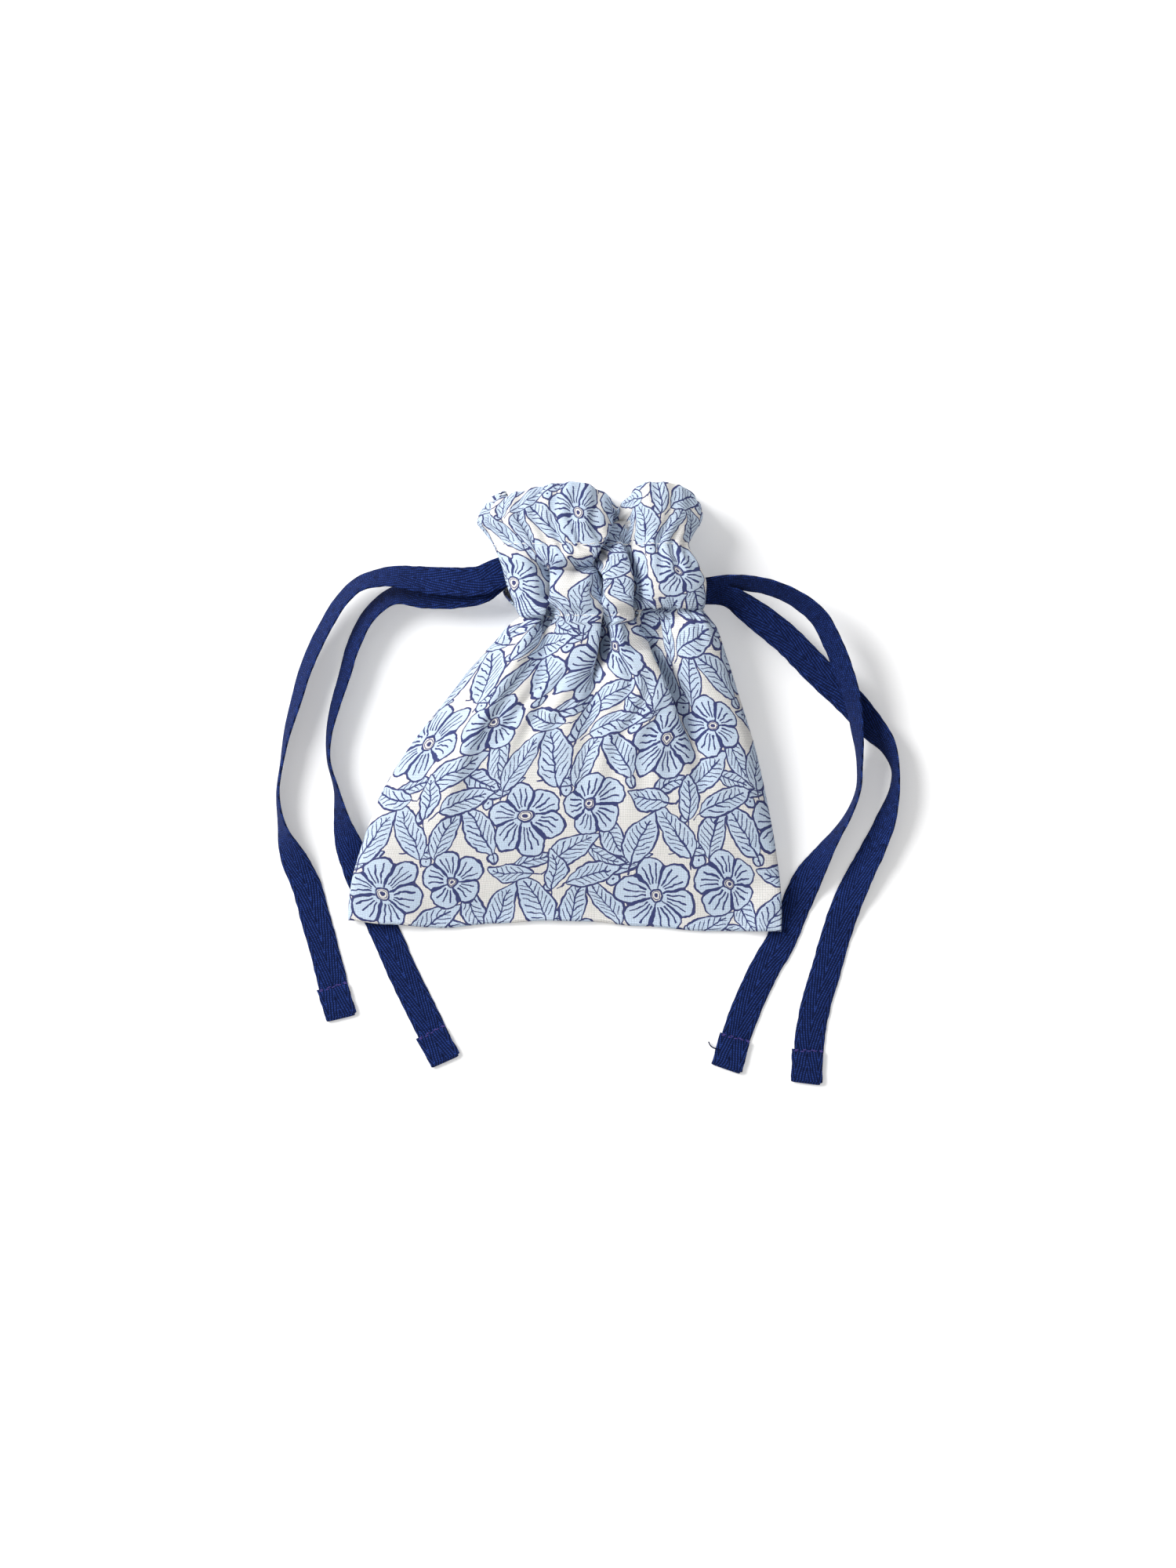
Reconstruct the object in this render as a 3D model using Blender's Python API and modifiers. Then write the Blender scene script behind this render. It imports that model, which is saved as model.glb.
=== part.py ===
# Small drawstring pouch of printed plain-weave cloth, lying on its back panel with the neck drawn in.
# X runs to the right, Y from the bottom seam to the mouth, Z up from the table. Metres.
# Two cloth panels are folded, gathered sheets; two flat tapes run through the casing round the neck.
import math

import bpy
import bmesh
import numpy as np
from mathutils import Vector

# Driving dimensions
CLOTH_WIDTH = 0.1402          # flat width between the side seams
BODY_LENGTH = 0.104           # bottom seam to the lower casing row, along the cloth
CASING_LENGTH = 0.024         # between the two casing rows
RUFFLE_LENGTH = 0.022         # upper casing row to the folded top edge
CLOTH = 0.0006                # thickness of one ply
PUFF = 0.0312                 # height of the gathered neck above the table
TAPE_WIDTH = 0.0098
TAPE = 0.0009                 # thickness of the tape
TAPE_DROP = 0.0086            # the front strand lies this far above the back strand
SEWN = 0.0003                 # clearance between pieces that touch
TURN_CLEAR = 0.0018           # between a tape's turn and the end of the casing
TABLE_GAP = 0.0001            # a tape lying on the table
PLY_GAP = 0.0005              # between the outer cloth and its facing in the ruffle
SLIT = 0.0030                 # half the opening that the tapes leave the casing by

FRONT_COLUMNS = 48
BACK_COLUMNS = 30
SPREAD = 0.0035               # how far up and down the cloth the spacing of the columns is averaged
STRAND_STEP = 0.0072          # spacing of the points along a tape

MM = 0.001

# Stations up the cloth: zone and share of it, left and right edge as shares of half the cloth width,
# crest and seam height as shares of the puff, squareness of the section
STATIONS = (
    ("body", 0.00, -1.000, 1.000, 0.054, 0.030, 2.6),
    ("body", 0.04, -0.998, 1.000, 0.100, 0.045, 2.6),
    ("body", 0.12, -0.983, 0.994, 0.240, 0.130, 2.6),
    ("body", 0.26, -0.932, 0.968, 0.470, 0.230, 2.6),
    ("body", 0.42, -0.852, 0.925, 0.660, 0.300, 2.5),
    ("body", 0.58, -0.715, 0.872, 0.790, 0.350, 2.4),
    ("body", 0.74, -0.535, 0.800, 0.865, 0.390, 2.4),
    ("body", 0.86, -0.400, 0.745, 0.890, 0.430, 2.6),
    ("body", 0.94, -0.285, 0.700, 0.890, 0.440, 3.0),
    ("body", 1.00, -0.180, 0.610, 0.890, 0.445, 3.4),
    ("casing", 0.18, -0.225, 0.640, 0.965, 0.445, 3.6),
    ("casing", 0.45, -0.262, 0.645, 0.985, 0.445, 3.6),
    ("casing", 0.72, -0.285, 0.610, 0.975, 0.445, 3.6),
    ("casing", 1.00, -0.322, 0.565, 0.900, 0.435, 3.4),
    ("ruffle", 0.28, -0.366, 0.596, 0.910, 0.420, 3.0),
    ("ruffle", 0.56, -0.398, 0.622, 0.930, 0.400, 2.7),
    ("ruffle", 0.82, -0.392, 0.630, 0.910, 0.390, 2.5),
    ("ruffle", 1.00, -0.365, 0.622, 0.870, 0.390, 2.4),
)

# Folds that run down the front from the ruffle. Each is a chain of stations: cloth station in shares
# of body (0 to 1), casing (1 to 2) and ruffle (2 to 3), place across as a share of half the cloth
# width, depth as a share of the puff, and the reach of its left and right flank in millimetres
FRONT_FOLDS = (
    ((0.50, -0.16, 0.00, 9, 9), (0.80, -0.11, 0.07, 6, 6), (0.95, -0.080, 0.20, 3.6, 3.4),
     (1.10, -0.072, 0.34, 2.6, 3.0), (1.45, -0.075, 0.34, 2.6, 2.8), (1.66, -0.100, 0.22, 3.2, 4.2),
     (1.82, -0.130, 0.07, 4.5, 6.0), (2.10, -0.160, 0.03, 7.0, 7.0), (3.00, -0.150, 0.03, 7.0, 7.0)),
    ((0.52, 0.100, 0.00, 8, 8), (0.80, 0.130, 0.12, 5, 5), (0.93, 0.170, 0.42, 3.0, 3.0),
     (1.10, 0.166, 0.36, 2.6, 2.4), (1.50, 0.158, 0.36, 2.8, 2.4), (1.72, 0.165, 0.34, 3.4, 2.8),
     (1.86, 0.175, 0.20, 4.2, 3.2), (2.02, 0.190, 0.06, 5.0, 4.0), (2.20, 0.200, 0.00, 6.0, 6.0)),
    ((1.34, 0.030, 0.00, 6.0, 6.0), (1.50, 0.035, 0.09, 6.5, 6.5), (1.64, 0.045, 0.18, 7.0, 6.5),
     (1.76, 0.060, 0.09, 7.0, 6.5), (1.88, 0.075, 0.00, 7.0, 6.0)),
    ((0.88, 0.350, 0.16, 3.6, 4.4), (0.97, 0.335, 0.40, 3.2, 4.6), (1.10, 0.326, 0.40, 2.4, 3.2),
     (1.50, 0.322, 0.40, 2.4, 3.0), (2.00, 0.290, 0.36, 3.0, 3.6), (2.25, 0.268, 0.34, 4.8, 4.8),
     (2.60, 0.252, 0.40, 5.6, 5.4), (3.00, 0.247, 0.44, 5.2, 5.0)),
    ((0.45, 0.670, 0.00, 6, 9), (0.62, 0.610, 0.14, 4.6, 8), (0.76, 0.560, 0.34, 4.0, 7.0),
     (0.86, 0.500, 0.40, 4.4, 6.0), (0.93, 0.430, 0.42, 4.6, 6.0), (0.985, 0.400, 0.40, 5.0, 9.0),
     (1.08, 0.410, 0.10, 7.0, 9.0), (1.20, 0.420, 0.00, 8.0, 9.0)),
)
# Raised: the soft edge of the front face that runs down to the left, and the cushion over the middle folds
FRONT_CREASE = (
    ((0.20, -0.60, 0.00, 9, 7), (0.36, -0.560, 0.04, 9, 6), (0.55, -0.470, 0.09, 9, 5),
     (0.75, -0.310, 0.10, 8, 5), (0.90, -0.190, 0.06, 6, 4), (1.00, -0.130, 0.00, 5, 4)),
    ((1.72, 0.055, 0.00, 7, 7), (1.90, 0.065, 0.05, 8, 7), (2.15, 0.075, 0.05, 9, 7),
     (2.60, 0.080, 0.00, 9, 8)),
)
BACK_FOLDS = (
    ((0.60, -0.26, 0.00, 6, 6), (0.88, -0.130, 0.16, 4.8, 4.8), (1.10, -0.090, 0.24, 3.6, 3.6),
     (2.00, -0.120, 0.24, 3.6, 3.6), (3.00, -0.200, 0.12, 6, 6)),
    ((0.66, 0.020, 0.00, 6, 6), (0.88, 0.045, 0.18, 4.6, 4.6), (1.10, 0.050, 0.24, 3.6, 3.6),
     (2.00, 0.035, 0.24, 3.6, 3.6), (3.00, 0.000, 0.15, 5, 5)),
    ((0.62, 0.200, 0.00, 6, 6), (0.88, 0.190, 0.18, 4.6, 4.6), (1.10, 0.185, 0.24, 3.6, 3.6),
     (2.00, 0.180, 0.24, 3.6, 3.6), (3.00, 0.190, 0.14, 5, 5)),
    ((0.66, 0.380, 0.00, 6, 6), (0.88, 0.340, 0.18, 4.6, 4.6), (1.10, 0.325, 0.24, 3.6, 3.6),
     (2.00, 0.310, 0.24, 3.6, 3.6), (3.00, 0.340, 0.14, 5, 5)),
    ((0.60, 0.600, 0.00, 7, 7), (0.88, 0.500, 0.16, 4.8, 4.8), (1.10, 0.465, 0.24, 3.6, 3.6),
     (2.00, 0.440, 0.24, 3.6, 3.6), (3.00, 0.490, 0.14, 5, 5)),
)

# Rows of the outer ply and of its facing, in the same stations
OUTER_ROWS = (0, 0.03, 0.07, 0.13, 0.22, 0.34, 0.47, 0.60, 0.71, 0.80, 0.87, 0.925, 0.965, 1.0, 1.04,
              1.14, 1.34, 1.54, 1.70, 1.84, 1.98, 2.14, 2.38, 2.64, 2.85, 3.0)
FACING_ROWS = (2.96, 2.80, 2.55, 2.28, 2.02, 1.65, 1.30, 1.03)

# Free ends of the tapes from the neck outwards: x, y, z in millimetres and the lean of the tape in
# degrees, 0 flat and 90 on edge
LEFT_OUTER = (
    (-27, 41.8, 15.0, -4), (-41, 41.4, 14.4, -20), (-58.6, 42.2, 12.6, -50), (-66.5, 39.9, 11.0, -60),
    (-72.8, 33.8, 9.6, -62), (-76.6, 27.7, 8.4, -62), (-80.6, 20.1, 7.4, -62), (-84.0, 12.0, 6.6, -64),
    (-87.0, 2.0, 5.9, -68), (-89.8, -8.0, 5.5, -76), (-91.6, -18.0, 5.4, -84), (-92.8, -27.0, 5.3, -84),
    (-91.4, -38.0, 4.9, -72), (-88.0, -48.0, 3.0, -30), (-84.0, -57.0, 1.0, -3), (-80.6, -69.0, 0.5, 0),
    (-76.6, -84.0, 0.5, 0), (-72.8, -99.6, 0.5, 0),
)
LEFT_INNER = (
    (-27, 38.2, 12.2, -4), (-36, 36.6, 10.6, -14), (-45, 36.2, 9.4, -34), (-55.5, 36.3, 8.6, -54),
    (-62.8, 30.6, 7.6, -60), (-68.4, 20.1, 6.8, -62), (-71.4, 10.0, 6.2, -66), (-74.2, 1.0, 5.8, -70),
    (-76.2, -8.0, 5.5, -78), (-76.4, -16.5, 5.4, -84), (-73.9, -26.0, 5.2, -80), (-71.8, -37.2, 4.2, -52),
    (-69.0, -47.0, 1.6, -12), (-64.8, -58.0, 0.5, 0), (-58.8, -71.5, 0.5, 0), (-50.8, -89.3, 0.5, 0),
    (-44.0, -103.0, 0.5, 0), (-39.2, -113.8, 0.5, 0),
)
RIGHT_UPPER = (
    (53, 41.4, 15.4, -12), (61.5, 40.6, 15.8, -36), (73.5, 35.6, 15.6, -54), (81.8, 29.0, 15.0, -56),
    (86.6, 20.1, 14.0, -54), (89.8, 12.0, 13.0, -54), (92.6, 3.0, 11.8, -60), (94.4, -8.0, 9.4, -72),
    (95.3, -18.0, 6.6, -84), (95.0, -26.0, 5.5, -86), (92.0, -34.0, 5.3, -82), (87.0, -42.0, 5.0, -70),
    (81.8, -50.0, 3.4, -42), (77.8, -57.0, 1.4, -12), (74.6, -64.5, 0.5, 0), (70.4, -74.5, 0.5, 0),
    (64.0, -86.0, 0.5, 0), (59.4, -96.0, 0.5, 0), (52.3, -116.0, 0.5, 0),
)
RIGHT_LOWER = (
    (53, 34.8, 12.0, -3), (60, 30.8, 10.2, -5), (71, 22.6, 8.0, -6), (82.6, 11.4, 5.6, -6),
    (91.6, 3.0, 4.4, -10), (98.4, -4.8, 4.6, -26), (104.6, -12.4, 5.2, -60), (107.0, -20.0, 5.3, -80),
    (106.6, -27.0, 5.0, -74), (104.0, -36.0, 4.0, -52), (99.6, -46.0, 3.2, -38), (94.6, -56.0, 2.2, -24),
    (90.8, -65.0, 1.0, -8), (87.8, -74.0, 0.5, 0), (84.8, -84.5, 0.5, 0), (81.0, -98.0, 0.5, 0),
    (78.0, -120.6, 0.5, 0),
)
# Where a tape runs under the pouch and lifts its edge: x, y in millimetres
LIFT_LINE = ((-71, -42), (-64.8, -58), (-58.8, -71.5))
CORNER_LIFT = (72.0, -70.0)
LIFT_HEIGHT = 0.0021
LIFT_REACH = 7.6 * MM
LIFT_FADE = 10.0 * MM
WAVE_LIFT = 0.0012            # the bottom seam stands off the table here by this much
WAVE_PLACE = -1.5 * MM
WAVE_REACH = 11 * MM
# The dip in the front's top edge between its two lobes, and how far the mouth's corners hang down
NOTCH_PLACE = 17.3 * MM
NOTCH_LEFT = 6.2 * MM
NOTCH_RIGHT = 4.6 * MM
NOTCH_DROP = 7.8 * MM
NOTCH_SINK = 6.0 * MM         # how much lower the front lies at the notch
NOTCH_SINK_REACH = 5.0 * MM
CORNER_LEFT = 8.8 * MM
CORNER_RIGHT = 6.0 * MM
HOLLOW = 8.0 * MM             # height kept free between the panels in the body
SLIT_OPENS = (0.93, 1.01)     # rows over which the seam opens below and closes above the tapes
SLIT_CLOSES = (1.99, 2.07)
FACING_NARROW = 0.5           # the facing's width in the casing, as a share of the mouth's
LEAK = 0.03                   # how far cloth may press past a limit, as a share of what it would
CHANNEL_EASE = 0.4 * MM       # a tape's rise or fall where it enters the casing
CROSSING = 0.8 * MM           # half the height between the two strands at the slit

# Cloth and tape colours, linear
GROUND = (0.80, 0.79, 0.74, 1)
SKY = (0.52, 0.66, 0.83, 1)
NAVY = (0.010, 0.022, 0.125, 1)

# Sizes that follow from the above
HALF_WIDTH = CLOTH_WIDTH / 2
PLY_OFFSET = CLOTH + PLY_GAP
BACK_STRAND = PUFF * 0.28
FRONT_STRAND = BACK_STRAND + TAPE_DROP
CHANNEL_HALF = TAPE / 2 + CLOTH / 2 + SEWN
FRONT_FLOOR = FRONT_STRAND + CHANNEL_HALF
BACK_CEILING = BACK_STRAND - CHANNEL_HALF
FRONT_FACING = FRONT_STRAND - CHANNEL_HALF - SEWN
BACK_FACING = BACK_STRAND + CHANNEL_HALF + SEWN
ZONES = {"body": (0, BODY_LENGTH), "casing": (1, CASING_LENGTH), "ruffle": (2, RUFFLE_LENGTH)}
SLOPE = {"body": 0.972, "casing": 0.955, "ruffle": 0.88}


def ease(low, high, value):
    t = np.clip((np.asarray(value, float) - low) / (high - low), 0, 1)
    return t * t * (3 - 2 * t)


def smooth(places, values, at):
    # Cubic through the values, with slopes held down so that it doesn't overshoot
    places = np.asarray(places, float)
    values = np.asarray(values, float)
    step = np.diff(places)
    rise = np.diff(values) / step
    slope = np.zeros(len(values))
    same = rise[:-1] * rise[1:] > 0
    slope[1:-1][same] = 2 * rise[:-1][same] * rise[1:][same] / (rise[:-1][same] + rise[1:][same])
    slope[0] = rise[0]
    slope[-1] = rise[-1]
    at = np.clip(at, places[0], places[-1])
    i = np.clip(np.searchsorted(places, at, side="right") - 1, 0, len(step) - 1)
    t = (at - places[i]) / step[i]
    return (values[i] * (1 + 2 * t) * (1 - t) ** 2 + values[i + 1] * t * t * (3 - 2 * t)
            + step[i] * (slope[i] * t * (1 - t) ** 2 - slope[i + 1] * t * t * (1 - t)))


STATION_PLACES = [ZONES[zone][0] + share for zone, share, *_ in STATIONS]


def station(column, at):
    return float(smooth(STATION_PLACES, [row[column] for row in STATIONS], at))


def row_height(at):
    # Place of a cloth row along Y, from the bottom seam
    y = 0.0
    for zone, (start, length) in ZONES.items():
        y += length * SLOPE[zone] * min(max(at - start, 0), 1)
    return y


POUCH_LENGTH = row_height(3)


def fold_field(folds, at, x):
    # Sum of the folds at a row, as a share of the puff
    field = np.zeros_like(x)
    for chain in folds:
        places = [s[0] for s in chain]
        if not places[0] <= at <= places[-1] + 1e-9:
            continue
        centre, depth, left, right = (
            float(smooth(places, [s[k] for s in chain], at)) for k in (1, 2, 3, 4))
        offset = x - centre * HALF_WIDTH
        reach = np.where(offset < 0, left, right) * MM
        field += depth * np.exp(-np.abs(offset / reach) ** 1.5)
    return field


def line_distance(x, y, line):
    best = np.full(np.shape(x), np.inf)
    for (ax, ay), (bx, by) in zip(line[:-1], line[1:]):
        ax, ay, bx, by = ax * MM, ay * MM, bx * MM, by * MM
        t = np.clip(((x - ax) * (bx - ax) + (y - ay) * (by - ay)) / ((bx - ax) ** 2 + (by - ay) ** 2), 0, 1)
        best = np.minimum(best, np.hypot(x - ax - t * (bx - ax), y - ay - t * (by - ay)))
    return best


def table_lift(x, y):
    # How far the cloth is held off the table by the tapes under it and by its own wave
    tape = 1 - ease(LIFT_REACH, LIFT_REACH + LIFT_FADE, line_distance(x, y, LIFT_LINE))
    corner_far = np.hypot(x - CORNER_LIFT[0] * MM, y - CORNER_LIFT[1] * MM)
    corner = 1 - ease(LIFT_REACH, LIFT_REACH + LIFT_FADE, corner_far)
    wave_far = np.hypot((x - WAVE_PLACE) / WAVE_REACH, (y + POUCH_LENGTH / 2) / WAVE_REACH)
    return LIFT_HEIGHT * np.maximum(tape, corner) + WAVE_LIFT * np.exp(-wave_far ** 2)


def section(at, front, samples=600):
    # Dense outline of one panel's outer ply at a cloth row, from the left seam to the right
    left = station(2, at) * HALF_WIDTH
    right = station(3, at) * HALF_WIDTH
    crest = station(4, at) * PUFF
    seam = station(5, at) * PUFF
    square = 2 / station(6, at)
    slit = SLIT * ease(*SLIT_OPENS, at) * (1 - ease(*SLIT_CLOSES, at))
    half_gap = (CLOTH + SEWN) / 2 * (1 - 0.5 * ease(0.30, 0.45, at)) + slit
    centre = (left + right) / 2
    radius = (right - left) / 2
    angle = np.linspace(math.pi, 0, samples)
    x = centre + radius * np.sign(np.cos(angle)) * np.abs(np.cos(angle)) ** square
    swell = np.abs(np.sin(angle)) ** square
    y_row = row_height(at) - POUCH_LENGTH / 2
    # The top corners and the notch between the lobes stand lower than the lobes' tops
    edge = np.abs((x - centre) / radius)
    top = ease(2.2, 3.0, at)
    y = y_row - np.where(x < centre, CORNER_LEFT, CORNER_RIGHT) * top * edge ** 5
    lift = table_lift(x, y)
    if front:
        field = fold_field(FRONT_FOLDS, at, x)
        raised = fold_field(FRONT_CREASE, at, x)
        inside = ease(0.02, 0.5, swell)
        z = seam + half_gap + (crest - seam - half_gap) * swell
        floor = front_floor(at, x)
        dipped = z - PUFF * field * inside
        dipped = np.where(dipped < floor, np.minimum(z, floor + LEAK * (dipped - floor)), dipped)
        z = dipped + PUFF * raised * inside
        flank = np.where(x < NOTCH_PLACE, NOTCH_LEFT, NOTCH_RIGHT)
        y = y - NOTCH_DROP * top * np.exp(-np.abs((x - NOTCH_PLACE) / flank) ** 1.6)
        z = z + lift * (1 - ease(0.1, 0.5, at))
        return x, y, z
    # The back panel lies on the table and only its folds rise from it
    depth = seam - half_gap - CLOTH / 2
    z = CLOTH / 2 + np.maximum(depth - (depth + 0.10 * PUFF * ease(0.02, 0.3, at)) * swell, 0)
    z = z + PUFF * fold_field(BACK_FOLDS, at, x) * ease(0.3, 0.9, swell)
    roof = BACK_CEILING + 0.9 * seam * (1 - ease(0.75, 0.93, np.abs(swell)))
    z = np.where(z > roof, roof + LEAK * (z - roof), z)
    z = np.maximum(z, CLOTH / 2)
    z = z + lift * (1 - ease(0.1, 0.5, at))
    return x, y, z


def front_floor(at, x):
    # The lowest the front's valleys reach: the tape in the casing, the facing above it, the hollow below
    body = BACK_CEILING + HOLLOW
    casing = FRONT_FLOOR
    mouth = FRONT_FACING + PLY_OFFSET + 2 * SEWN
    low = body + (casing - body) * ease(0.88, 0.97, at)
    return low + (mouth - casing) * ease(2.02, 2.25, at) - notch_sink(at, x, NOTCH_SINK_REACH)


def notch_sink(at, x, reach):
    # The cloth lies lower behind the notch, more so towards the top edge
    return NOTCH_SINK * ease(2.3, 2.9, at) * np.exp(-((x - NOTCH_PLACE) / reach) ** 2)


def share_along(at, front):
    x, _, z = section(at, front)
    length = np.concatenate(([0], np.cumsum(np.hypot(np.diff(x), np.diff(z)))))
    return length / length[-1]


def even_points(at, front, columns):
    # Grid points spread evenly along the cloth, with the spread averaged over the rows next to it
    zone_length = BODY_LENGTH if at < 0.97 else (CASING_LENGTH + RUFFLE_LENGTH) / 2
    step = SPREAD / zone_length
    near = [min(max(at + step * k, 0), 3) for k in (-2, -1, 0, 1, 2)]
    share = sum(share_along(row, front) for row in near) / len(near)
    wanted = np.linspace(0, 1, columns + 1)
    return np.stack([np.interp(wanted, share, values) for values in section(at, front)], axis=1)


def facing_points(outer, normal, at, front):
    # The facing follows the outer ply under the top edge and lies flat against the tape in the casing
    near = outer - normal * PLY_OFFSET
    level = FRONT_FACING if front else BACK_FACING
    narrow = FACING_NARROW + (1 - FACING_NARROW) * ease(2.1, 2.75, at)
    left = station(2, at) * HALF_WIDTH
    right = station(3, at) * HALF_WIDTH
    x = (left + right) / 2 + np.linspace(-1, 1, len(outer)) * (right - left) / 2 * narrow
    flat = np.stack([x, outer[:, 1], np.full_like(x, level)], axis=1)
    if front:
        flat[:, 2] -= 1.1 * notch_sink(at, x, 1.3 * NOTCH_SINK_REACH)
    part = ease(2.05, 2.75, at)
    return near * part + flat * (1 - part)


def panel_rows(front):
    columns = FRONT_COLUMNS if front else BACK_COLUMNS
    outer = np.array([even_points(at, front, columns) for at in OUTER_ROWS])

    def normals_at(at):
        along = even_points(min(at + 0.02, 3), front, columns) - even_points(at - 0.02, front, columns)
        middle = even_points(at, front, columns)
        across = np.gradient(middle, axis=0)
        normal = np.cross(across, along)
        normal /= np.linalg.norm(normal, axis=1)[:, None]
        return middle, normal if front else -normal

    top, normal = normals_at(3.0)
    turn = top - normal * PLY_OFFSET / 2
    turn[:, 1] += PLY_OFFSET * 0.42
    facing = [turn]
    for at in (3.0,) + FACING_ROWS:
        middle, normal = normals_at(at)
        facing.append(facing_points(middle, normal, at, front))
    return np.concatenate([outer, np.array(facing)])


def grid_mesh(name, points):
    # An open sheet whose grid points are set row by row
    rows, columns = points.shape[:2]
    mesh = bpy.data.meshes.new(name)
    sheet = bmesh.new()
    bmesh.ops.create_grid(sheet, x_segments=columns - 1, y_segments=rows - 1, size=1)
    for vertex in sheet.verts:
        column = round((vertex.co.x + 1) / 2 * (columns - 1))
        row = round((vertex.co.y + 1) / 2 * (rows - 1))
        vertex.co = Vector(points[row, column])
    sheet.to_mesh(mesh)
    sheet.free()
    mesh.shade_smooth()
    return mesh


def material(name, colour, roughness):
    made = bpy.data.materials.new(name)
    made.use_nodes = True
    shader = made.node_tree.nodes["Principled BSDF"]
    shader.inputs["Base Color"].default_value = colour
    shader.inputs["Roughness"].default_value = roughness
    shader.inputs["Metallic"].default_value = 0
    made.diffuse_color = colour
    return made


def sheet_object(name, points, thickness, colour, roughness, home):
    made = bpy.data.objects.new(name, grid_mesh(name, points))
    home.objects.link(made)
    made.data.materials.append(material(name, colour, roughness))
    solid = made.modifiers.new("thickness", "SOLIDIFY")
    solid.thickness = thickness
    solid.offset = 0
    solid.use_rim = True
    return made


def round_route(points):
    # Cubic through hand-chosen points, read at even steps
    points = np.asarray(points, float)
    chord = np.concatenate(([0], np.cumsum(np.linalg.norm(np.diff(points[:, :3], axis=0), axis=1))))
    fine = np.linspace(0, chord[-1], 4000)
    slopes = np.gradient(points, chord, axis=0)
    i = np.clip(np.searchsorted(chord, fine, side="right") - 1, 0, len(chord) - 2)
    step = np.diff(chord)[i][:, None]
    t = ((fine - chord[i])[:, None]) / step
    dense = (points[i] * (1 + 2 * t) * (1 - t) ** 2 + points[i + 1] * t * t * (3 - 2 * t)
             + step * (slopes[i] * t * (1 - t) ** 2 - slopes[i + 1] * t * t * (1 - t)))
    length = np.concatenate(([0], np.cumsum(np.linalg.norm(np.diff(dense[:, :3], axis=0), axis=1))))
    count = max(int(round(length[-1] / STRAND_STEP)), 8)
    at = np.linspace(0, length[-1], count + 1)
    return np.stack([np.interp(at, length, dense[:, k]) for k in range(points.shape[1])], axis=1)


def tape_route(first_end, second_end, exit_side, channel_share):
    # One continuous tape: free end, front channel, turn at the far slit, back channel, free end
    at = 1 + channel_share
    reach = TAPE_WIDTH / 2 / CASING_LENGTH
    across = [at + reach * k for k in (-1, -0.5, 0, 0.5, 1)]
    left = max(station(2, row) for row in across) * HALF_WIDTH
    right = min(station(3, row) for row in across) * HALF_WIDTH
    exit_x = left if exit_side < 0 else right
    turn_x = right if exit_side < 0 else left
    y = row_height(at) - POUCH_LENGTH / 2
    turn = TAPE_DROP / 2
    inward = -1 if turn_x > exit_x else 1
    route = [(p[0] * MM, p[1] * MM, p[2] * MM, p[3]) for p in reversed(first_end)]
    middle = (FRONT_STRAND + BACK_STRAND) / 2
    route.append((exit_x + exit_side * 0.001, y, middle + CROSSING, 0))
    route.append((exit_x - exit_side * 0.010, y, FRONT_STRAND - CHANNEL_EASE, 0))
    route.append((exit_x - exit_side * 0.020, y, FRONT_STRAND, 0))
    centre_x = turn_x + inward * (turn + TURN_CLEAR)
    for back_from_turn in (0.018, 0.006, 0.002):
        route.append((centre_x + inward * back_from_turn, y, FRONT_STRAND, 0))
    for step in range(9):
        angle = math.pi / 2 - math.pi * step / 8
        route.append((centre_x - inward * turn * math.cos(angle), y, middle + turn * math.sin(angle), 0))
    for back_from_turn in (0.002, 0.006, 0.018):
        route.append((centre_x + inward * back_from_turn, y, BACK_STRAND, 0))
    route.append((exit_x - exit_side * 0.020, y, BACK_STRAND, 0))
    route.append((exit_x - exit_side * 0.010, y, BACK_STRAND + CHANNEL_EASE, 0))
    route.append((exit_x + exit_side * 0.001, y, middle - CROSSING, 0))
    route += [(p[0] * MM, p[1] * MM, p[2] * MM, p[3]) for p in second_end]
    return round_route(route)


def tape_points(route):
    # The two edges of the tape: its width direction turns smoothly and leans by the fourth column
    centre = route[:, :3].copy()
    tangent = np.gradient(centre, axis=0)
    tangent /= np.linalg.norm(tangent, axis=1)[:, None]
    last = None
    edges = []
    for k, direction in enumerate(tangent):
        level = np.cross((0, 0, 1), direction)
        if last is not None and (np.linalg.norm(level) < 0.35):
            level = last - direction * np.dot(last, direction)
        level /= np.linalg.norm(level)
        if last is not None and np.dot(level, last) < 0:
            level = -level
        last = level
        upright = np.cross(direction, level)
        if upright[2] < 0:
            upright = -upright
        lean = math.radians(route[k, 3])
        lowest = abs(math.sin(lean)) * TAPE_WIDTH / 2 + abs(math.cos(lean)) * TAPE / 2
        centre[k, 2] = max(centre[k, 2], lowest + TABLE_GAP)
        side = level * math.cos(lean) + upright * math.sin(lean)
        side /= np.linalg.norm(side)
        edges.append([centre[k] - side * TAPE_WIDTH / 2, centre[k] + side * TAPE_WIDTH / 2])
    return np.array(edges)


for old in list(bpy.data.objects):
    bpy.data.objects.remove(old, do_unlink=True)
pouch = bpy.data.collections.new("drawstring_pouch")
bpy.context.scene.collection.children.link(pouch)

sheet_object("front_panel", panel_rows(True), CLOTH, SKY, 0.9, pouch)
sheet_object("back_panel", panel_rows(False), CLOTH, GROUND, 0.9, pouch)
LEFT_CHANNEL = 1 - (TAPE_WIDTH / 2 + CLOTH + SEWN) / CASING_LENGTH
RIGHT_CHANNEL = (TAPE_WIDTH / 2 + CLOTH + SEWN) / CASING_LENGTH
left_route = tape_route(LEFT_OUTER, LEFT_INNER, -1, LEFT_CHANNEL)
right_route = tape_route(RIGHT_UPPER, RIGHT_LOWER, 1, RIGHT_CHANNEL)
sheet_object("drawstring_left", tape_points(left_route), TAPE, NAVY, 0.8, pouch)
sheet_object("drawstring_right", tape_points(right_route), TAPE, NAVY, 0.8, pouch)
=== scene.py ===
import math
from functools import partialmethod

import bpy
import numpy as np
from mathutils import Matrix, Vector, noise


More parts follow.
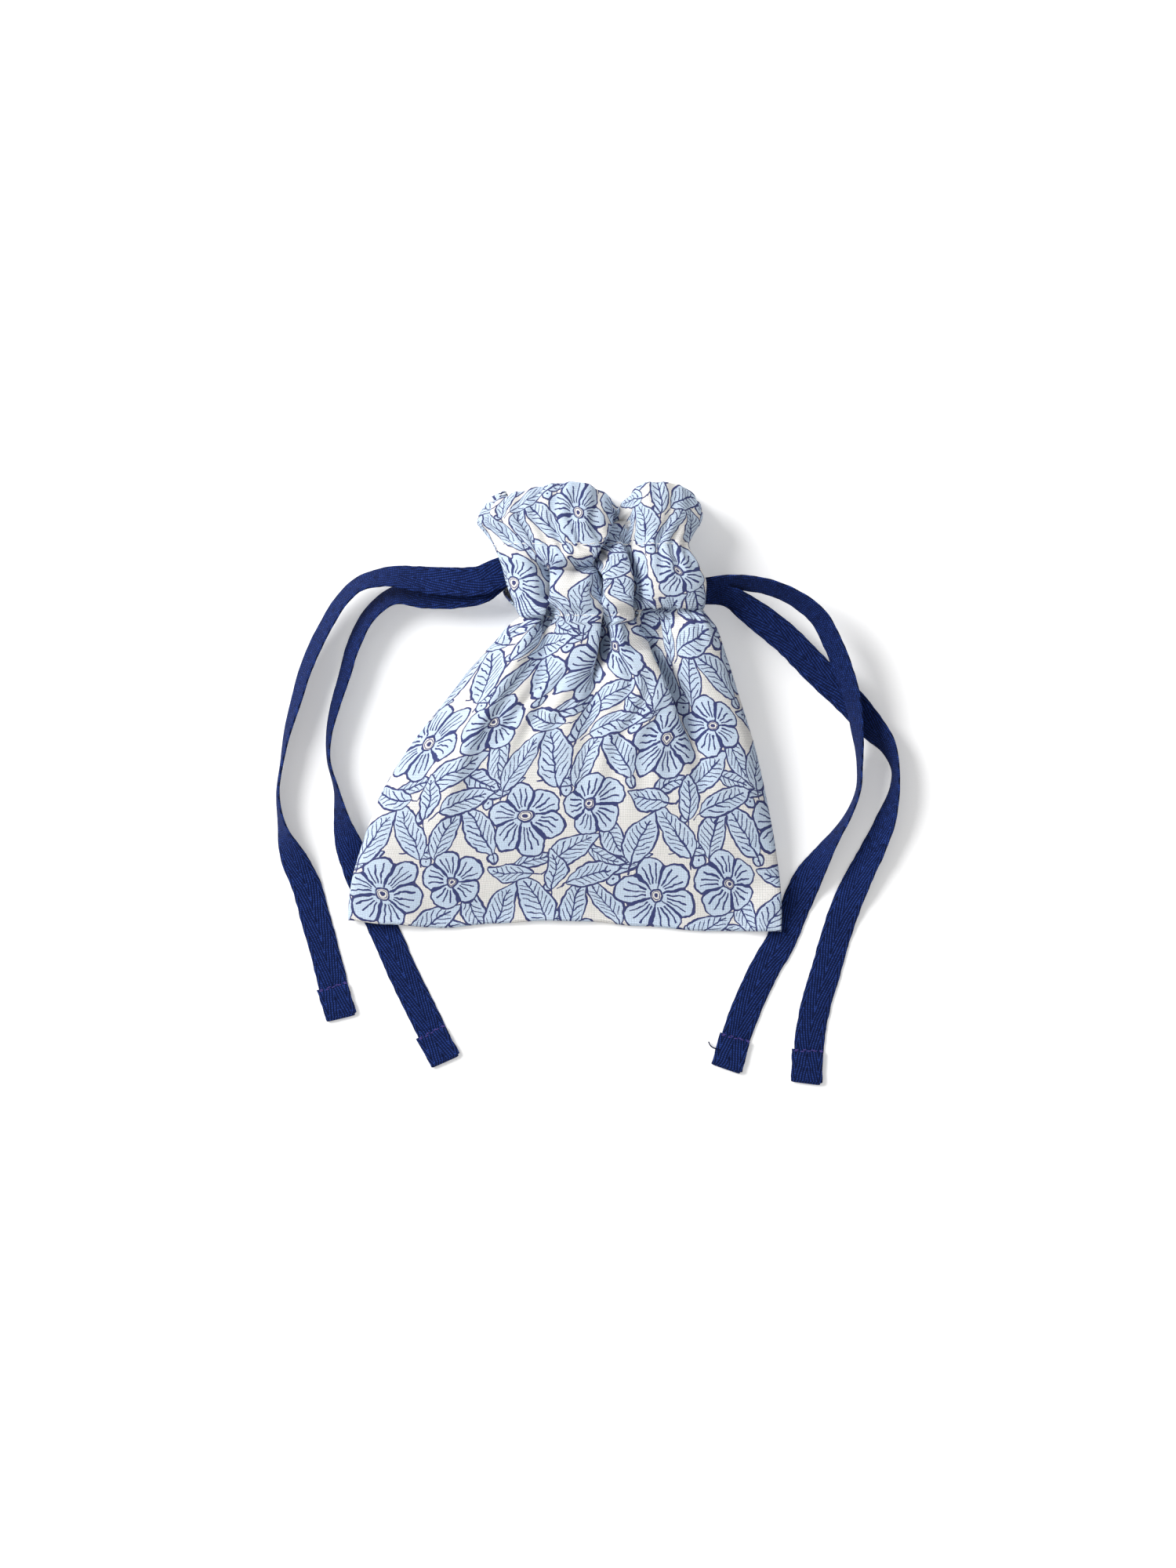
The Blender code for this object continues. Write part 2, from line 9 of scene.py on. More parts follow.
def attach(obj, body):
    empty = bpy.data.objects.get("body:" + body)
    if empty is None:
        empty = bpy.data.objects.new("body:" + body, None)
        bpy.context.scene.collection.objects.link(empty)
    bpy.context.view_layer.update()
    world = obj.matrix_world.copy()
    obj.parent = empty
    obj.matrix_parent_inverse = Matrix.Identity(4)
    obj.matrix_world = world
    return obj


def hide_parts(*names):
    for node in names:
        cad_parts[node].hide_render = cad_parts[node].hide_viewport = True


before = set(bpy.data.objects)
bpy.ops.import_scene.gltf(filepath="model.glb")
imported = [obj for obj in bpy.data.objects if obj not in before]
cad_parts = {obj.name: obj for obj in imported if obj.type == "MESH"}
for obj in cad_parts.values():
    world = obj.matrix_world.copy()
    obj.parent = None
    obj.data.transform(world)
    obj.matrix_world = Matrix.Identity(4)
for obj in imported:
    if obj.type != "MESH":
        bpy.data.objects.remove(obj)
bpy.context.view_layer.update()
scene = bpy.context.scene
mm = 0.001
print("frame loaded:", sorted(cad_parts))

# The pouch as the frame holds it; lengths in metres
pouch = {
    "clothWidth": 0.1402,
    "bodyLength": 0.104,
    "casingLength": 0.024,
    "ruffleLength": 0.022,
    "cloth": 0.0006,
    "puff": 0.0312,
    "plyGap": 0.0011,
    "slit": 0.0030,
    "clearance": 0.0003,
    "spread": 0.0035,
    "hollow": 0.0046,  # least room inside the body under a valley
    "columns": 176,
    "bodyRows": 96,
    "casingRows": 36,
    "ruffleRows": 34,
    "facingRows": 24,
    "pleatHeight": 0.00055,
    "pleatWidth": 0.0021,
    "samples": 600,  # points in a section
    "topTurn": 0.0008,  # cloth in half of the turn over the top edge
    "facingEnd": 1.03,
    "facingNarrow": 0.5,  # the facing's width in the casing, as a share of the outer ply's
}
# How far the cloth may crumple away from its large folds, and how it is let go
crumple = {
    # share of the gathered-in cloth that the small folds take up, at places up the cloth
    "excessAt": (0.0, 0.55, 0.85, 0.98, 1.12, 1.5, 1.9, 2.05, 2.3, 3.0),
    "excess": (0.3, 0.45, 0.9, 1.35, 0.85, 0.6, 0.9, 1.05, 0.45, 0.35),
    "reachAt": (0.0, 0.8, 1.0, 2.0, 2.3, 3.0),
    "reach": (0.0024, 0.0030, 0.0017, 0.0014, 0.0022, 0.0022),
    "patchiness": 1.5,
    "patchAcross": 0.016,
    "patchAlong": 0.030,
    "seedHeight": 0.00030,
    "seedAcross": 0.0048,
    "seedAlong": 0.018,
    "steps": 220,
    "shear": 0.4,
    "bendAcross": 0.018,
    "bendAlong": 0.05,
    "hold": 0.004,
    "momentum": 0.6,
    "seed": 11,
}
tape = {
    "width": 0.0098,
    "thickness": 0.0009,
    "drop": 0.0086,
    "step": 0.0011,
    "turnClear": 0.0018,
    "tableGap": 0.0001,
    "hem": 0.0112,
    "hemLift": 0.0010,
    "exitShift": ((-0.0030, 0), (0.0026, -30)),  # at the left and right slit: up the cloth, lean in degrees
    "hemSkew": 0.0009,
    "hemWider": 1.06,
    "hemTurnSteps": 8,
    "edgeWave": 0.00024,
    "edgeRun": 0.0024,
    "around": 20,
    "roundAcross": 0.28,  # how round its selvedges and faces are, 1 being an oval
    "roundUp": 0.55,
    "bodyWidth": 0.985,
    "exitPlaces": (-0.001, 0.010, 0.020),  # how far inside the slit the route is held
    "exitHeights": (0.0010, 0.0014),  # above and below the middle, for the front and the back strand
    "exitDip": 0.0004,
    "turnPlaces": (0.018, 0.006, 0.002),
    "turnSteps": 8,
    "insideX": (-0.006, 0.030),  # where the left and right free ends begin, inside the casing
}

# Stations up the cloth: place (body 0 to 1, casing to 2, ruffle to 3), left and right edge as shares of
# half the cloth's width, crest and seam height as shares of the puff, squareness of the section
stations = np.array((
    (0, -1, 1, 0.054, 0.03, 2.6),
    (0.04, -0.998, 1, 0.1, 0.045, 2.6),
    (0.12, -0.983, 0.994, 0.24, 0.13, 2.6),
    (0.26, -0.932, 0.968, 0.47, 0.23, 2.6),
    (0.42, -0.852, 0.925, 0.66, 0.3, 2.5),
    (0.58, -0.715, 0.872, 0.79, 0.35, 2.4),
    (0.74, -0.535, 0.8, 0.865, 0.39, 2.4),
    (0.86, -0.4, 0.745, 0.89, 0.43, 2.6),
    (0.94, -0.285, 0.7, 0.89, 0.44, 3),
    (1, -0.18, 0.61, 0.89, 0.445, 3.4),
    (1.18, -0.225, 0.64, 0.965, 0.445, 3.6),
    (1.45, -0.262, 0.645, 0.985, 0.445, 3.6),
    (1.72, -0.285, 0.61, 0.975, 0.445, 3.6),
    (2, -0.322, 0.565, 0.9, 0.435, 3.4),
    (2.28, -0.366, 0.596, 0.91, 0.42, 3),
    (2.56, -0.398, 0.622, 0.93, 0.4, 2.7),
    (2.82, -0.392, 0.63, 0.91, 0.39, 2.5),
    (3, -0.365, 0.622, 0.87, 0.39, 2.4),
))

# Each fold is a chain of stations: place up the cloth, place across as a share of half the width, depth
# as a share of the puff, reach of the left and right flank in millimetres
frontFolds = (
    ((0.5, -0.16, 0, 9, 9), (0.8, -0.11, 0.07, 6, 6), (0.95, -0.08, 0.2, 3.6, 3.4),
     (1.1, -0.072, 0.38, 2, 2.3), (1.45, -0.075, 0.38, 2, 2.2), (1.66, -0.1, 0.22, 3.2, 4.2),
     (1.82, -0.13, 0.07, 4.5, 6), (2.1, -0.16, 0.03, 7, 7), (3, -0.15, 0.03, 7, 7)),
    ((0.52, 0.1, 0, 8, 8), (0.8, 0.135, 0.16, 4.2, 5), (0.92, 0.172, 0.52, 2.2, 2.7),
     (1.1, 0.166, 0.38, 1.9, 2), (1.5, 0.156, 0.38, 2, 2), (1.7, 0.15, 0.4, 2.4, 2.2),
     (1.86, 0.166, 0.42, 2.3, 2.4), (2.02, 0.19, 0.4, 2.4, 2.8), (2.2, 0.212, 0.36, 3.2, 3.8),
     (2.45, 0.232, 0.2, 3.6, 4.2), (2.7, 0.245, 0, 4, 4.4)),
    ((1.4, 0.04, 0, 5, 5), (1.54, 0.05, 0.1, 5.6, 5), (1.66, 0.066, 0.3, 5.6, 5),
     (1.74, 0.09, 0.22, 5, 4.6), (1.82, 0.11, 0, 5, 4.6)),
    ((0.88, 0.35, 0.16, 3.6, 4.4), (0.97, 0.335, 0.4, 3, 4.4), (1.1, 0.326, 0.4, 2, 2.7),
     (1.5, 0.322, 0.4, 2, 2.5), (2, 0.29, 0.36, 3, 3.6), (2.25, 0.268, 0.34, 4.8, 4.8),
     (2.6, 0.252, 0.4, 5.6, 5.4), (3, 0.247, 0.44, 5.2, 5)),
    ((0.45, 0.65, 0, 6, 9), (0.6, 0.59, 0.14, 4.2, 8), (0.71, 0.53, 0.32, 3.2, 7),
     (0.83, 0.44, 0.48, 3, 6), (0.91, 0.395, 0.46, 3.4, 6), (0.98, 0.38, 0.4, 4.4, 9),
     (1.08, 0.4, 0.1, 7, 9), (1.2, 0.42, 0, 8, 9)),
)
frontCrease = (
    ((0.2, -0.6, 0, 9, 7), (0.36, -0.56, 0.04, 9, 6), (0.55, -0.47, 0.09, 9, 5),
     (0.75, -0.31, 0.1, 8, 5), (0.9, -0.19, 0.06, 6, 4), (1, -0.13, 0, 5, 4)),
    ((1.72, 0.055, 0, 7, 7), (1.9, 0.065, 0.05, 8, 7), (2.15, 0.075, 0.05, 9, 7),
     (2.6, 0.08, 0, 9, 8)),
)
# Where cloth rolls over the edge of a valley: place up the cloth, middle of the flank across as a share
# of half the width, how far its two sides close over each other and its half width in millimetres
frontRolls = (
    ((0.9, -0.115, 0, 2.2), (1.05, -0.11, 1.9, 2), (1.3, -0.05, 2.6, 1.9), (1.55, -0.055, 1.9, 2),
     (1.75, -0.08, 0, 2.6)),
    ((0.78, 0.125, 0, 2.4), (0.93, 0.142, 2.4, 2), (1.3, 0.18, 2.5, 1.8), (1.55, 0.178, 1.6, 1.8),
     (1.72, 0.12, 1.8, 2), (1.9, 0.14, 2.7, 2.1), (2.1, 0.17, 2.9, 2.2), (2.4, 0.205, 2.2, 2.4),
     (2.75, 0.215, 1.2, 2.6), (3, 0.215, 0.8, 2.6)),
    ((0.9, 0.35, 0, 2.2), (1.05, 0.3, 1.8, 1.9), (1.4, 0.3, 2.3, 1.9), (1.8, 0.285, 1.5, 2),
     (2.1, 0.27, 0, 2.4)),
    ((0.52, 0.61, 0, 3), (0.66, 0.53, 1.6, 2.6), (0.78, 0.445, 2.8, 2.4), (0.88, 0.375, 2.8, 2.3),
     (0.96, 0.35, 1.6, 2.4), (1.05, 0.36, 0, 3)),
)
# The back's valleys: where each starts, its places across at the start, 0.88, 1.1, 2 and 3, its reach at the
# start, waist and top edge, and its depth at the waist and top edge
backFolds = tuple(
    tuple(zip((start, 0.88, 1.1, 2, 3), across, (0, low, 0.24, 0.24, high), *[(first, waist, 3.6, 3.6, last)] * 2))
    for start, across, (first, waist, last), (low, high) in (
        (0.6, (-0.26, -0.13, -0.09, -0.12, -0.2), (6, 4.8, 6), (0.16, 0.12)),
        (0.66, (0.02, 0.045, 0.05, 0.035, 0), (6, 4.6, 5), (0.18, 0.15)),
        (0.62, (0.2, 0.19, 0.185, 0.18, 0.19), (6, 4.6, 5), (0.18, 0.14)),
        (0.66, (0.38, 0.34, 0.325, 0.31, 0.34), (6, 4.6, 5), (0.18, 0.14)),
        (0.6, (0.6, 0.5, 0.465, 0.44, 0.49), (7, 4.8, 5), (0.16, 0.14))))
# Where the bottom seam is held off the table: by the left tape under it, at a corner, and by its own wave
lift = {
    "line": ((-71, -42), (-64.8, -58), (-58.8, -71.5)),
    "corner": (72, -70),
    "height": 0.0021,
    "reach": 0.0076,
    "fade": 0.01,
    "waveHeight": 0.0012,
    "wavePlace": -0.0015,
    "waveReach": 0.011,
}
# The dip in the top edge between the two lobes, and how far the corners of the mouth hang down
notch = {
    "place": 0.247,
    "left": 0.0062,
    "right": 0.0046,
    "drop": 0.0078,
    "behind": 0.0066,  # how far the back panel's edge dips behind it
    "cornerLeft": 0.0068,
    "cornerRight": 0.0066,
    "roundLeft": 2.1,
    "roundRight": 8,
    "floorDip": 0.006,  # how deep the valley may lie at the dip, and its reach; then the facing's
    "floorReach": 0.005,
    "facingDip": 0.0066,
    "facingReach": 0.0065,
}
# How the bottom edge wanders off its straight line, both in millimetres
hemLine = ((-71, 3.2), (-58, 1.9), (-40, 0.7), (-22, 2.2), (-6, 3.1), (8, 2.8), (24, 1.3), (46, -0.3),
           (71, -0.4))
# Where the full casing hangs over the drawn-in waist: shares of half the width, then rows and millimetres
waist = {
    "left": (-0.15, -0.08),
    "right": (0.27, 0.36, 0.6, 0.68),
    "above": (1.1, 0.07, 2.2),
    "below": (0.975, 0.035, 1.4),
    "rise": (3.2, 0.09, 0.22),  # how much higher it is on the right; that height's reach below and above
    "riseAcross": (0.2, 0.4),
}
# The corner of the back casing that stands out below the left tapes
flap = {"place": 1.34, "reach": 0.16, "out": 0.002}

# Free ends of the tapes from the neck outwards: x, y, z in millimetres, lean in degrees
leftOuter = (
    (-27, 41.2, 14.6, -8), (-41, 41, 14.4, -22), (-58.6, 42.2, 12.6, -50), (-66.5, 39.9, 11, -60),
    (-72.8, 33.8, 9.6, -62), (-76.6, 27.7, 8.4, -62), (-80.6, 20.1, 7.4, -62), (-84, 12, 6.6, -64),
    (-87, 2, 5.9, -68), (-89.8, -8, 5.5, -76), (-91.6, -18, 5.4, -84), (-92.8, -27, 5.3, -84),
    (-91.4, -38, 4.9, -72), (-88, -48, 3, -30), (-84, -57, 1, -3), (-80.6, -69, 0.5, 0),
    (-76.6, -84, 0.5, 0), (-72.8, -99.6, 0.5, 0),
)
leftInner = (
    (-27, 38.6, 11.8, -6), (-36, 36.8, 10.6, -14), (-45, 36.2, 9.4, -34), (-55.5, 36.3, 8.6, -54),
    (-62.8, 30.6, 7.6, -60), (-68.4, 20.1, 6.8, -62), (-71.4, 10, 6.2, -66), (-74.2, 1, 5.8, -70),
    (-76.2, -8, 5.5, -78), (-76.4, -16.5, 5.4, -84), (-73.9, -26, 5.2, -80), (-71.8, -37.2, 4.2, -52),
    (-69, -47, 1.6, -12), (-64.8, -58, 0.5, 0), (-58.8, -71.5, 0.5, 0), (-50.8, -89.3, 0.5, 0),
    (-44, -103, 0.5, 0), (-39.2, -113.8, 0.5, 0),
)
rightUpper = (
    (53, 40.2, 14.6, -60), (61.5, 39.8, 15, -62), (73.5, 35.6, 15.4, -60), (81.8, 29, 15, -56),
    (86.6, 20.1, 14, -54), (89.8, 12, 13, -54), (92.6, 3, 11.8, -60), (94.4, -8, 9.4, -72),
    (95.3, -18, 6.6, -84), (95, -26, 5.5, -86), (92, -34, 5.3, -82), (87, -42, 5, -70),
    (81.8, -50, 3.4, -42), (77.8, -57, 1.4, -12), (74.6, -64.5, 0.5, 0), (70.4, -74.5, 0.5, 0),
    (64, -86, 0.5, 0), (59.4, -96, 0.5, 0), (52.3, -116, 0.5, 0),
)
rightLower = (
    (53, 36, 11.4, -48), (60, 31.4, 9.8, -26), (71, 22.8, 8, -10), (82.6, 11.4, 5.6, -6),
    (91.6, 3, 4.4, -10), (98.4, -4.8, 4.6, -26), (104.6, -12.4, 5.2, -60), (107, -20, 5.3, -80),
    (106.6, -27, 5, -74), (104, -36, 4, -52), (99.6, -46, 3.2, -38), (94.6, -56, 2.2, -24),
    (90.8, -65, 1, -8), (87.8, -74, 0.5, 0), (84.8, -84.5, 0.5, 0), (81, -98, 0.5, 0),
    (78, -120.6, 0.5, 0),
)

halfWidth = pouch["clothWidth"] / 2
puff = pouch["puff"]
backStrand = puff * 0.28
frontStrand = backStrand + tape["drop"]
channelHalf = tape["thickness"] / 2 + pouch["cloth"] / 2 + pouch["clearance"]
frontFacing = frontStrand - channelHalf - pouch["clearance"]
backFacing = backStrand + channelHalf + pouch["clearance"]
backCeiling = backStrand - channelHalf
zoneLengths = (pouch["bodyLength"], pouch["casingLength"], pouch["ruffleLength"])
zoneSlopes = (0.972, 0.955, 0.88)
notchX = notch["place"] * halfWidth


def ease(low, high, value):
    t = np.clip((np.asarray(value, float) - low) / (high - low), 0, 1)
    return t * t * (3 - 2 * t)


def bell(offset):
    return np.exp(-offset ** 2)


def pairAt(places, at):
    # Which pair of neighbouring places each value lies between
    return np.clip(np.searchsorted(places, at, side="right") - 1, 0, len(places) - 2)


def cubic(values, slopes, i, gap, t):
    # From value i to the next, with the slope of each
    return (values[i] * (1 + 2 * t) * (1 - t) ** 2 + values[i + 1] * t * t * (3 - 2 * t)
            + gap * (slopes[i] * t * (1 - t) ** 2 - slopes[i + 1] * t * t * (1 - t)))


def runLength(points):
    # How far along a line of points each of them lies
    return np.concatenate(([0], np.cumsum(np.linalg.norm(np.diff(points, axis=0), axis=1))))


def smooth(places, values, at):
    # Cubic through the values that doesn't overshoot
    places = np.asarray(places, float)
    values = np.asarray(values, float)
    step = np.diff(places)
    rise = np.diff(values) / step
    slope = np.zeros(len(values))
    same = rise[:-1] * rise[1:] > 0
    slope[1:-1][same] = 2 * rise[:-1][same] * rise[1:][same] / (rise[:-1][same] + rise[1:][same])
    slope[0] = rise[0]
    slope[-1] = rise[-1]
    at = np.clip(at, places[0], places[-1])
    i = pairAt(places, at)
    return cubic(values, slope, i, step[i], (at - places[i]) / step[i])


def smoothLine(table, x):
    # A table of millimetres read smoothly at places in metres
    places, values = np.array(table, float).T
    at = np.clip(x / mm, places[0], places[-1])
    i = pairAt(places, at)
    part = (at - places[i]) / (places[i + 1] - places[i])
    return (values[i] + (values[i + 1] - values[i]) * part * part * (3 - 2 * part)) * mm


def station(at):
    # Left and right edge in metres, then crest, seam and squareness
    left, right, crest, seam, square = (float(smooth(stations[:, 0], stations[:, k], at)) for k in range(1, 6))
    return left * halfWidth, right * halfWidth, crest * puff, seam * puff, square


def rowHeight(at):
    return sum(length * slope * min(max(at - zone, 0), 1)
               for zone, (length, slope) in enumerate(zip(zoneLengths, zoneSlopes)))


def clothHeight(at):
    return sum(length * min(max(at - zone, 0), 1) for zone, length in enumerate(zoneLengths))


pouchLength = rowHeight(3)


def chainsAt(chains, at):
    # The values at a row of each chain that reaches it
    for chain in chains:
        places, *columns = zip(*chain)
        if places[0] <= at <= places[-1] + 1e-9:
            yield [float(smooth(places, values, at)) for values in columns]


def foldField(folds, at, x):
    field = np.zeros_like(x)
    for centre, depth, left, right in chainsAt(folds, at):
        offset = x - centre * halfWidth
        reach = np.where(offset < 0, left, right) * mm
        field += depth * np.exp(-np.abs(offset / reach) ** 1.5)
    return field


def rollShift(at, x):
    # Brings the two sides of a valley's flank over each other
    shift = np.zeros_like(x)
    for centre, amount, half in chainsAt(frontRolls, at):
        offset = (x - centre * halfWidth) / (half * mm)
        shift += amount * mm * (bell((offset + 1) / 0.9) - bell((offset - 1) / 0.9))
    return shift


def waistShift(at, x):
    # How far the casing's lower edge hangs down over the waist, and rises on the right
    share = x / halfWidth
    first, second, third, last = waist["right"]
    right = ease(first, second, share) * (1 - ease(third, last, share))
    there = right + 1 - ease(*waist["left"], share)
    above, below = (amount * bell((at - row) / reach) for row, reach, amount in (waist["above"], waist["below"]))
    rise, down, up = waist["rise"]
    risen = rise * bell((at - 1) / (up if at > 1 else down)) * ease(*waist["riseAcross"], share)
    return ((below - above) * there + risen) * mm


def tableLift(x, y):
    # How far the bottom edge is held up at each place
    best = np.full(np.shape(x), np.inf)
    for (ax, ay), (bx, by) in zip(lift["line"][:-1], lift["line"][1:]):
        ax, ay, bx, by = ax * mm, ay * mm, bx * mm, by * mm
        t = np.clip(((x - ax) * (bx - ax) + (y - ay) * (by - ay)) / ((bx - ax) ** 2 + (by - ay) ** 2), 0, 1)
        best = np.minimum(best, np.hypot(x - ax - t * (bx - ax), y - ay - t * (by - ay)))
    edge = lift["reach"] + lift["fade"]
    under = 1 - ease(lift["reach"], edge, best)
    corner = 1 - ease(lift["reach"], edge, np.hypot(x - lift["corner"][0] * mm, y - lift["corner"][1] * mm))
    waveFar = np.hypot(x - lift["wavePlace"], y + pouchLength / 2) / lift["waveReach"]
    return lift["height"] * np.maximum(under, corner) + lift["waveHeight"] * bell(waveFar)


def frontFloor(at, x):
    # The lowest the front's valleys reach: the tape in the casing, the facing above it, the hollow below
    body = backCeiling + pouch["hollow"]
    casing = frontStrand + channelHalf
    mouth = frontFacing + pouch["plyGap"] + 2 * pouch["clearance"]
    dip = notch["floorDip"] * ease(2.3, 2.9, at) * bell((x - notchX) / notch["floorReach"])
    low = body + (casing - body) * ease(0.88, 0.97, at)
    return low + (mouth - casing) * ease(2.02, 2.25, at) - dip


def section(at, front):
    # Dense outline of one panel's outer ply at a cloth row, from the left seam to the right
    left, right, crest, seam, corners = station(at)
    square = 2 / corners
    slit = pouch["slit"] * ease(0.93, 1.01, at) * (1 - ease(1.99, 2.07, at))  # open along the casing
    halfGap = (pouch["cloth"] + pouch["clearance"]) / 2 * (1 - 0.5 * ease(0.30, 0.45, at)) + slit
    centre = (left + right) / 2
    radius = (right - left) / 2
    angle = np.linspace(math.pi, 0, pouch["samples"])
    x = centre + radius * np.sign(np.cos(angle)) * np.abs(np.cos(angle)) ** square
    swell = np.abs(np.sin(angle)) ** square
    y = rowHeight(at) - pouchLength / 2
    fromMiddle = np.abs((x - centre) / radius)
    corner = np.where(x < centre, notch["cornerLeft"] * fromMiddle ** notch["roundLeft"],
                      notch["cornerRight"] * fromMiddle ** notch["roundRight"])
    y = y - corner * ease(2.1, 3.0, at)
    y = y + smoothLine(hemLine, x) * (1 - ease(0.0, 0.42, at))
    fromNotch = x - notchX
    dent = np.exp(-np.abs(fromNotch / np.where(fromNotch < 0, notch["left"], notch["right"])) ** 1.6)
    raised = tableLift(x, y) * (1 - ease(0.1, 0.5, at))
    if front:
        inside = ease(0.02, 0.5, swell)
        z = seam + halfGap + (crest - seam - halfGap) * swell
        floor = frontFloor(at, x)
        dipped = z - puff * foldField(frontFolds, at, x) * inside
        dipped = np.where(dipped < floor, np.minimum(z, floor + 0.03 * (dipped - floor)), dipped)
        z = dipped + puff * foldField(frontCrease, at, x) * inside
        y = y - notch["drop"] * ease(2.2, 3.0, at) * dent
        y = y + waistShift(at, x) * inside
        return x + rollShift(at, x) * inside, y, z + raised
    y = y - notch["behind"] * ease(2.2, 3.0, at) * dent
    x = x - flap["out"] * bell((at - flap["place"]) / flap["reach"]) * ease(0.6, 1.0, (centre - x) / radius)
    ply = pouch["cloth"] / 2
    depth = seam - halfGap - ply
    z = ply + np.maximum(depth - (depth + 0.10 * puff * ease(0.02, 0.3, at)) * swell, 0)
    z = z + puff * foldField(backFolds, at, x) * ease(0.3, 0.9, swell)
    roof = backCeiling + 0.9 * seam * (1 - ease(0.75, 0.93, np.abs(swell)))
    z = np.where(z > roof, roof + 0.03 * (z - roof), z)
    return x, y, np.maximum(z, ply) + raised


shareCache = {}


def shareAlong(at, front):
    key = (round(at, 5), front)
    if key not in shareCache:
        x, _, z = section(at, front)
        length = np.concatenate(([0], np.cumsum(np.hypot(np.diff(x), np.diff(z)))))
        shareCache[key] = length / length[-1]
    return shareCache[key]


def evenPoints(at, front, columns):
    # Points spread evenly along the cloth, with the spread averaged over the rows next to it
    zoneLength = zoneLengths[0] if at < 0.97 else (zoneLengths[1] + zoneLengths[2]) / 2
    near = [min(max(at + pouch["spread"] / zoneLength * k, 0), 3) for k in (-2, -1, 0, 1, 2)]
    share = sum(shareAlong(row, front) for row in near) / len(near)
    wanted = np.linspace(0, 1, columns + 1)
    return np.stack([np.interp(wanted, share, values) for values in section(at, front)], axis=1)


def gridNormals(points):
    # Upward normals of a grid of points
    along = np.gradient(points, axis=0)
    across = np.gradient(points, axis=1)
    normal = np.cross(across, along)
    return normal / np.linalg.norm(normal, axis=2)[:, :, None]


def linked(name, data):
    # An object of its own in the scene
    made = bpy.data.objects.new(name, data)
    scene.collection.objects.link(made)
    return made


def gridObject(name, points, thickness, materials, flatSize, outward=True):
    # A sheet from a grid of points, with its place on the flat cloth as its UV map, and its two sides
    rows, columns = points.shape[:2]
    index = np.arange(rows * columns).reshape(rows, columns)
    a, b, c, d = index[:-1, :-1], index[:-1, 1:], index[1:, 1:], index[1:, :-1]
    corners = (a, b, c, d) if outward else (a, d, c, b)
    faces = np.stack([corner.ravel() for corner in corners], axis=1)
    mesh = bpy.data.meshes.new(name)
    mesh.from_pydata(points.reshape(-1, 3).tolist(), [], faces.tolist())
    flat = mesh.uv_layers.new(name="Flat")
    across, along = flatSize
    flatPoints = np.stack(np.broadcast_arrays(across[None, :], along[:, None]), axis=2).reshape(-1, 2)
    flat.data.foreach_set("uv", flatPoints[faces.ravel()].astype(np.float32).ravel())
    mesh.shade_smooth()
    made = linked(name, mesh)
    for material in materials:
        mesh.materials.append(material)
    solid = made.modifiers.new("thickness", "SOLIDIFY")
    solid.thickness = thickness
    solid.offset = 0
    solid.use_rim = True
    solid.material_offset = len(materials) - 1
    makePlain(made)
    return made


def makePlain(made):
    # Leaves the object with its finished mesh and no modifier
    bpy.context.view_layer.update()
    finished = bpy.data.meshes.new_from_object(made.evaluated_get(bpy.context.evaluated_depsgraph_get()))
    old = made.data
    made.modifiers.clear()
    made.data = finished
    if isinstance(old, bpy.types.Mesh):
        bpy.data.meshes.remove(old)
    finished.name = made.name


def noiseField(flatSize, across, along, seed):
    # Smooth unevenness over the flat cloth, from about -1 to 1
    field = np.empty((len(flatSize[1]), len(flatSize[0])))
    for i, v in enumerate(flatSize[1]):
        for j, u in enumerate(flatSize[0]):
            field[i, j] = noise.noise(Vector((u / across, v / along, seed)))
    return field


def pull(first, second, rest, stiffness):
    # Moves two neighbouring sets of points towards their distance on the flat cloth
    gap = second - first
    length = np.maximum(np.linalg.norm(gap, axis=2), 1e-9)
    change = gap * ((length - rest) / length * 0.5 * stiffness)[:, :, None]
    first += change
    second -= change


def stiffen(shift, axis, amount):
    # Bending: takes the sharpest turns out of the small folds
    moved = np.moveaxis(shift, axis, 0)
    turn = moved[:-2] - 2 * moved[1:-1] + moved[2:]
    push = np.zeros_like(moved)
    push[1:-1] += 2 * turn
    push[:-2] -= turn
    push[2:] -= turn
    moved += push * amount


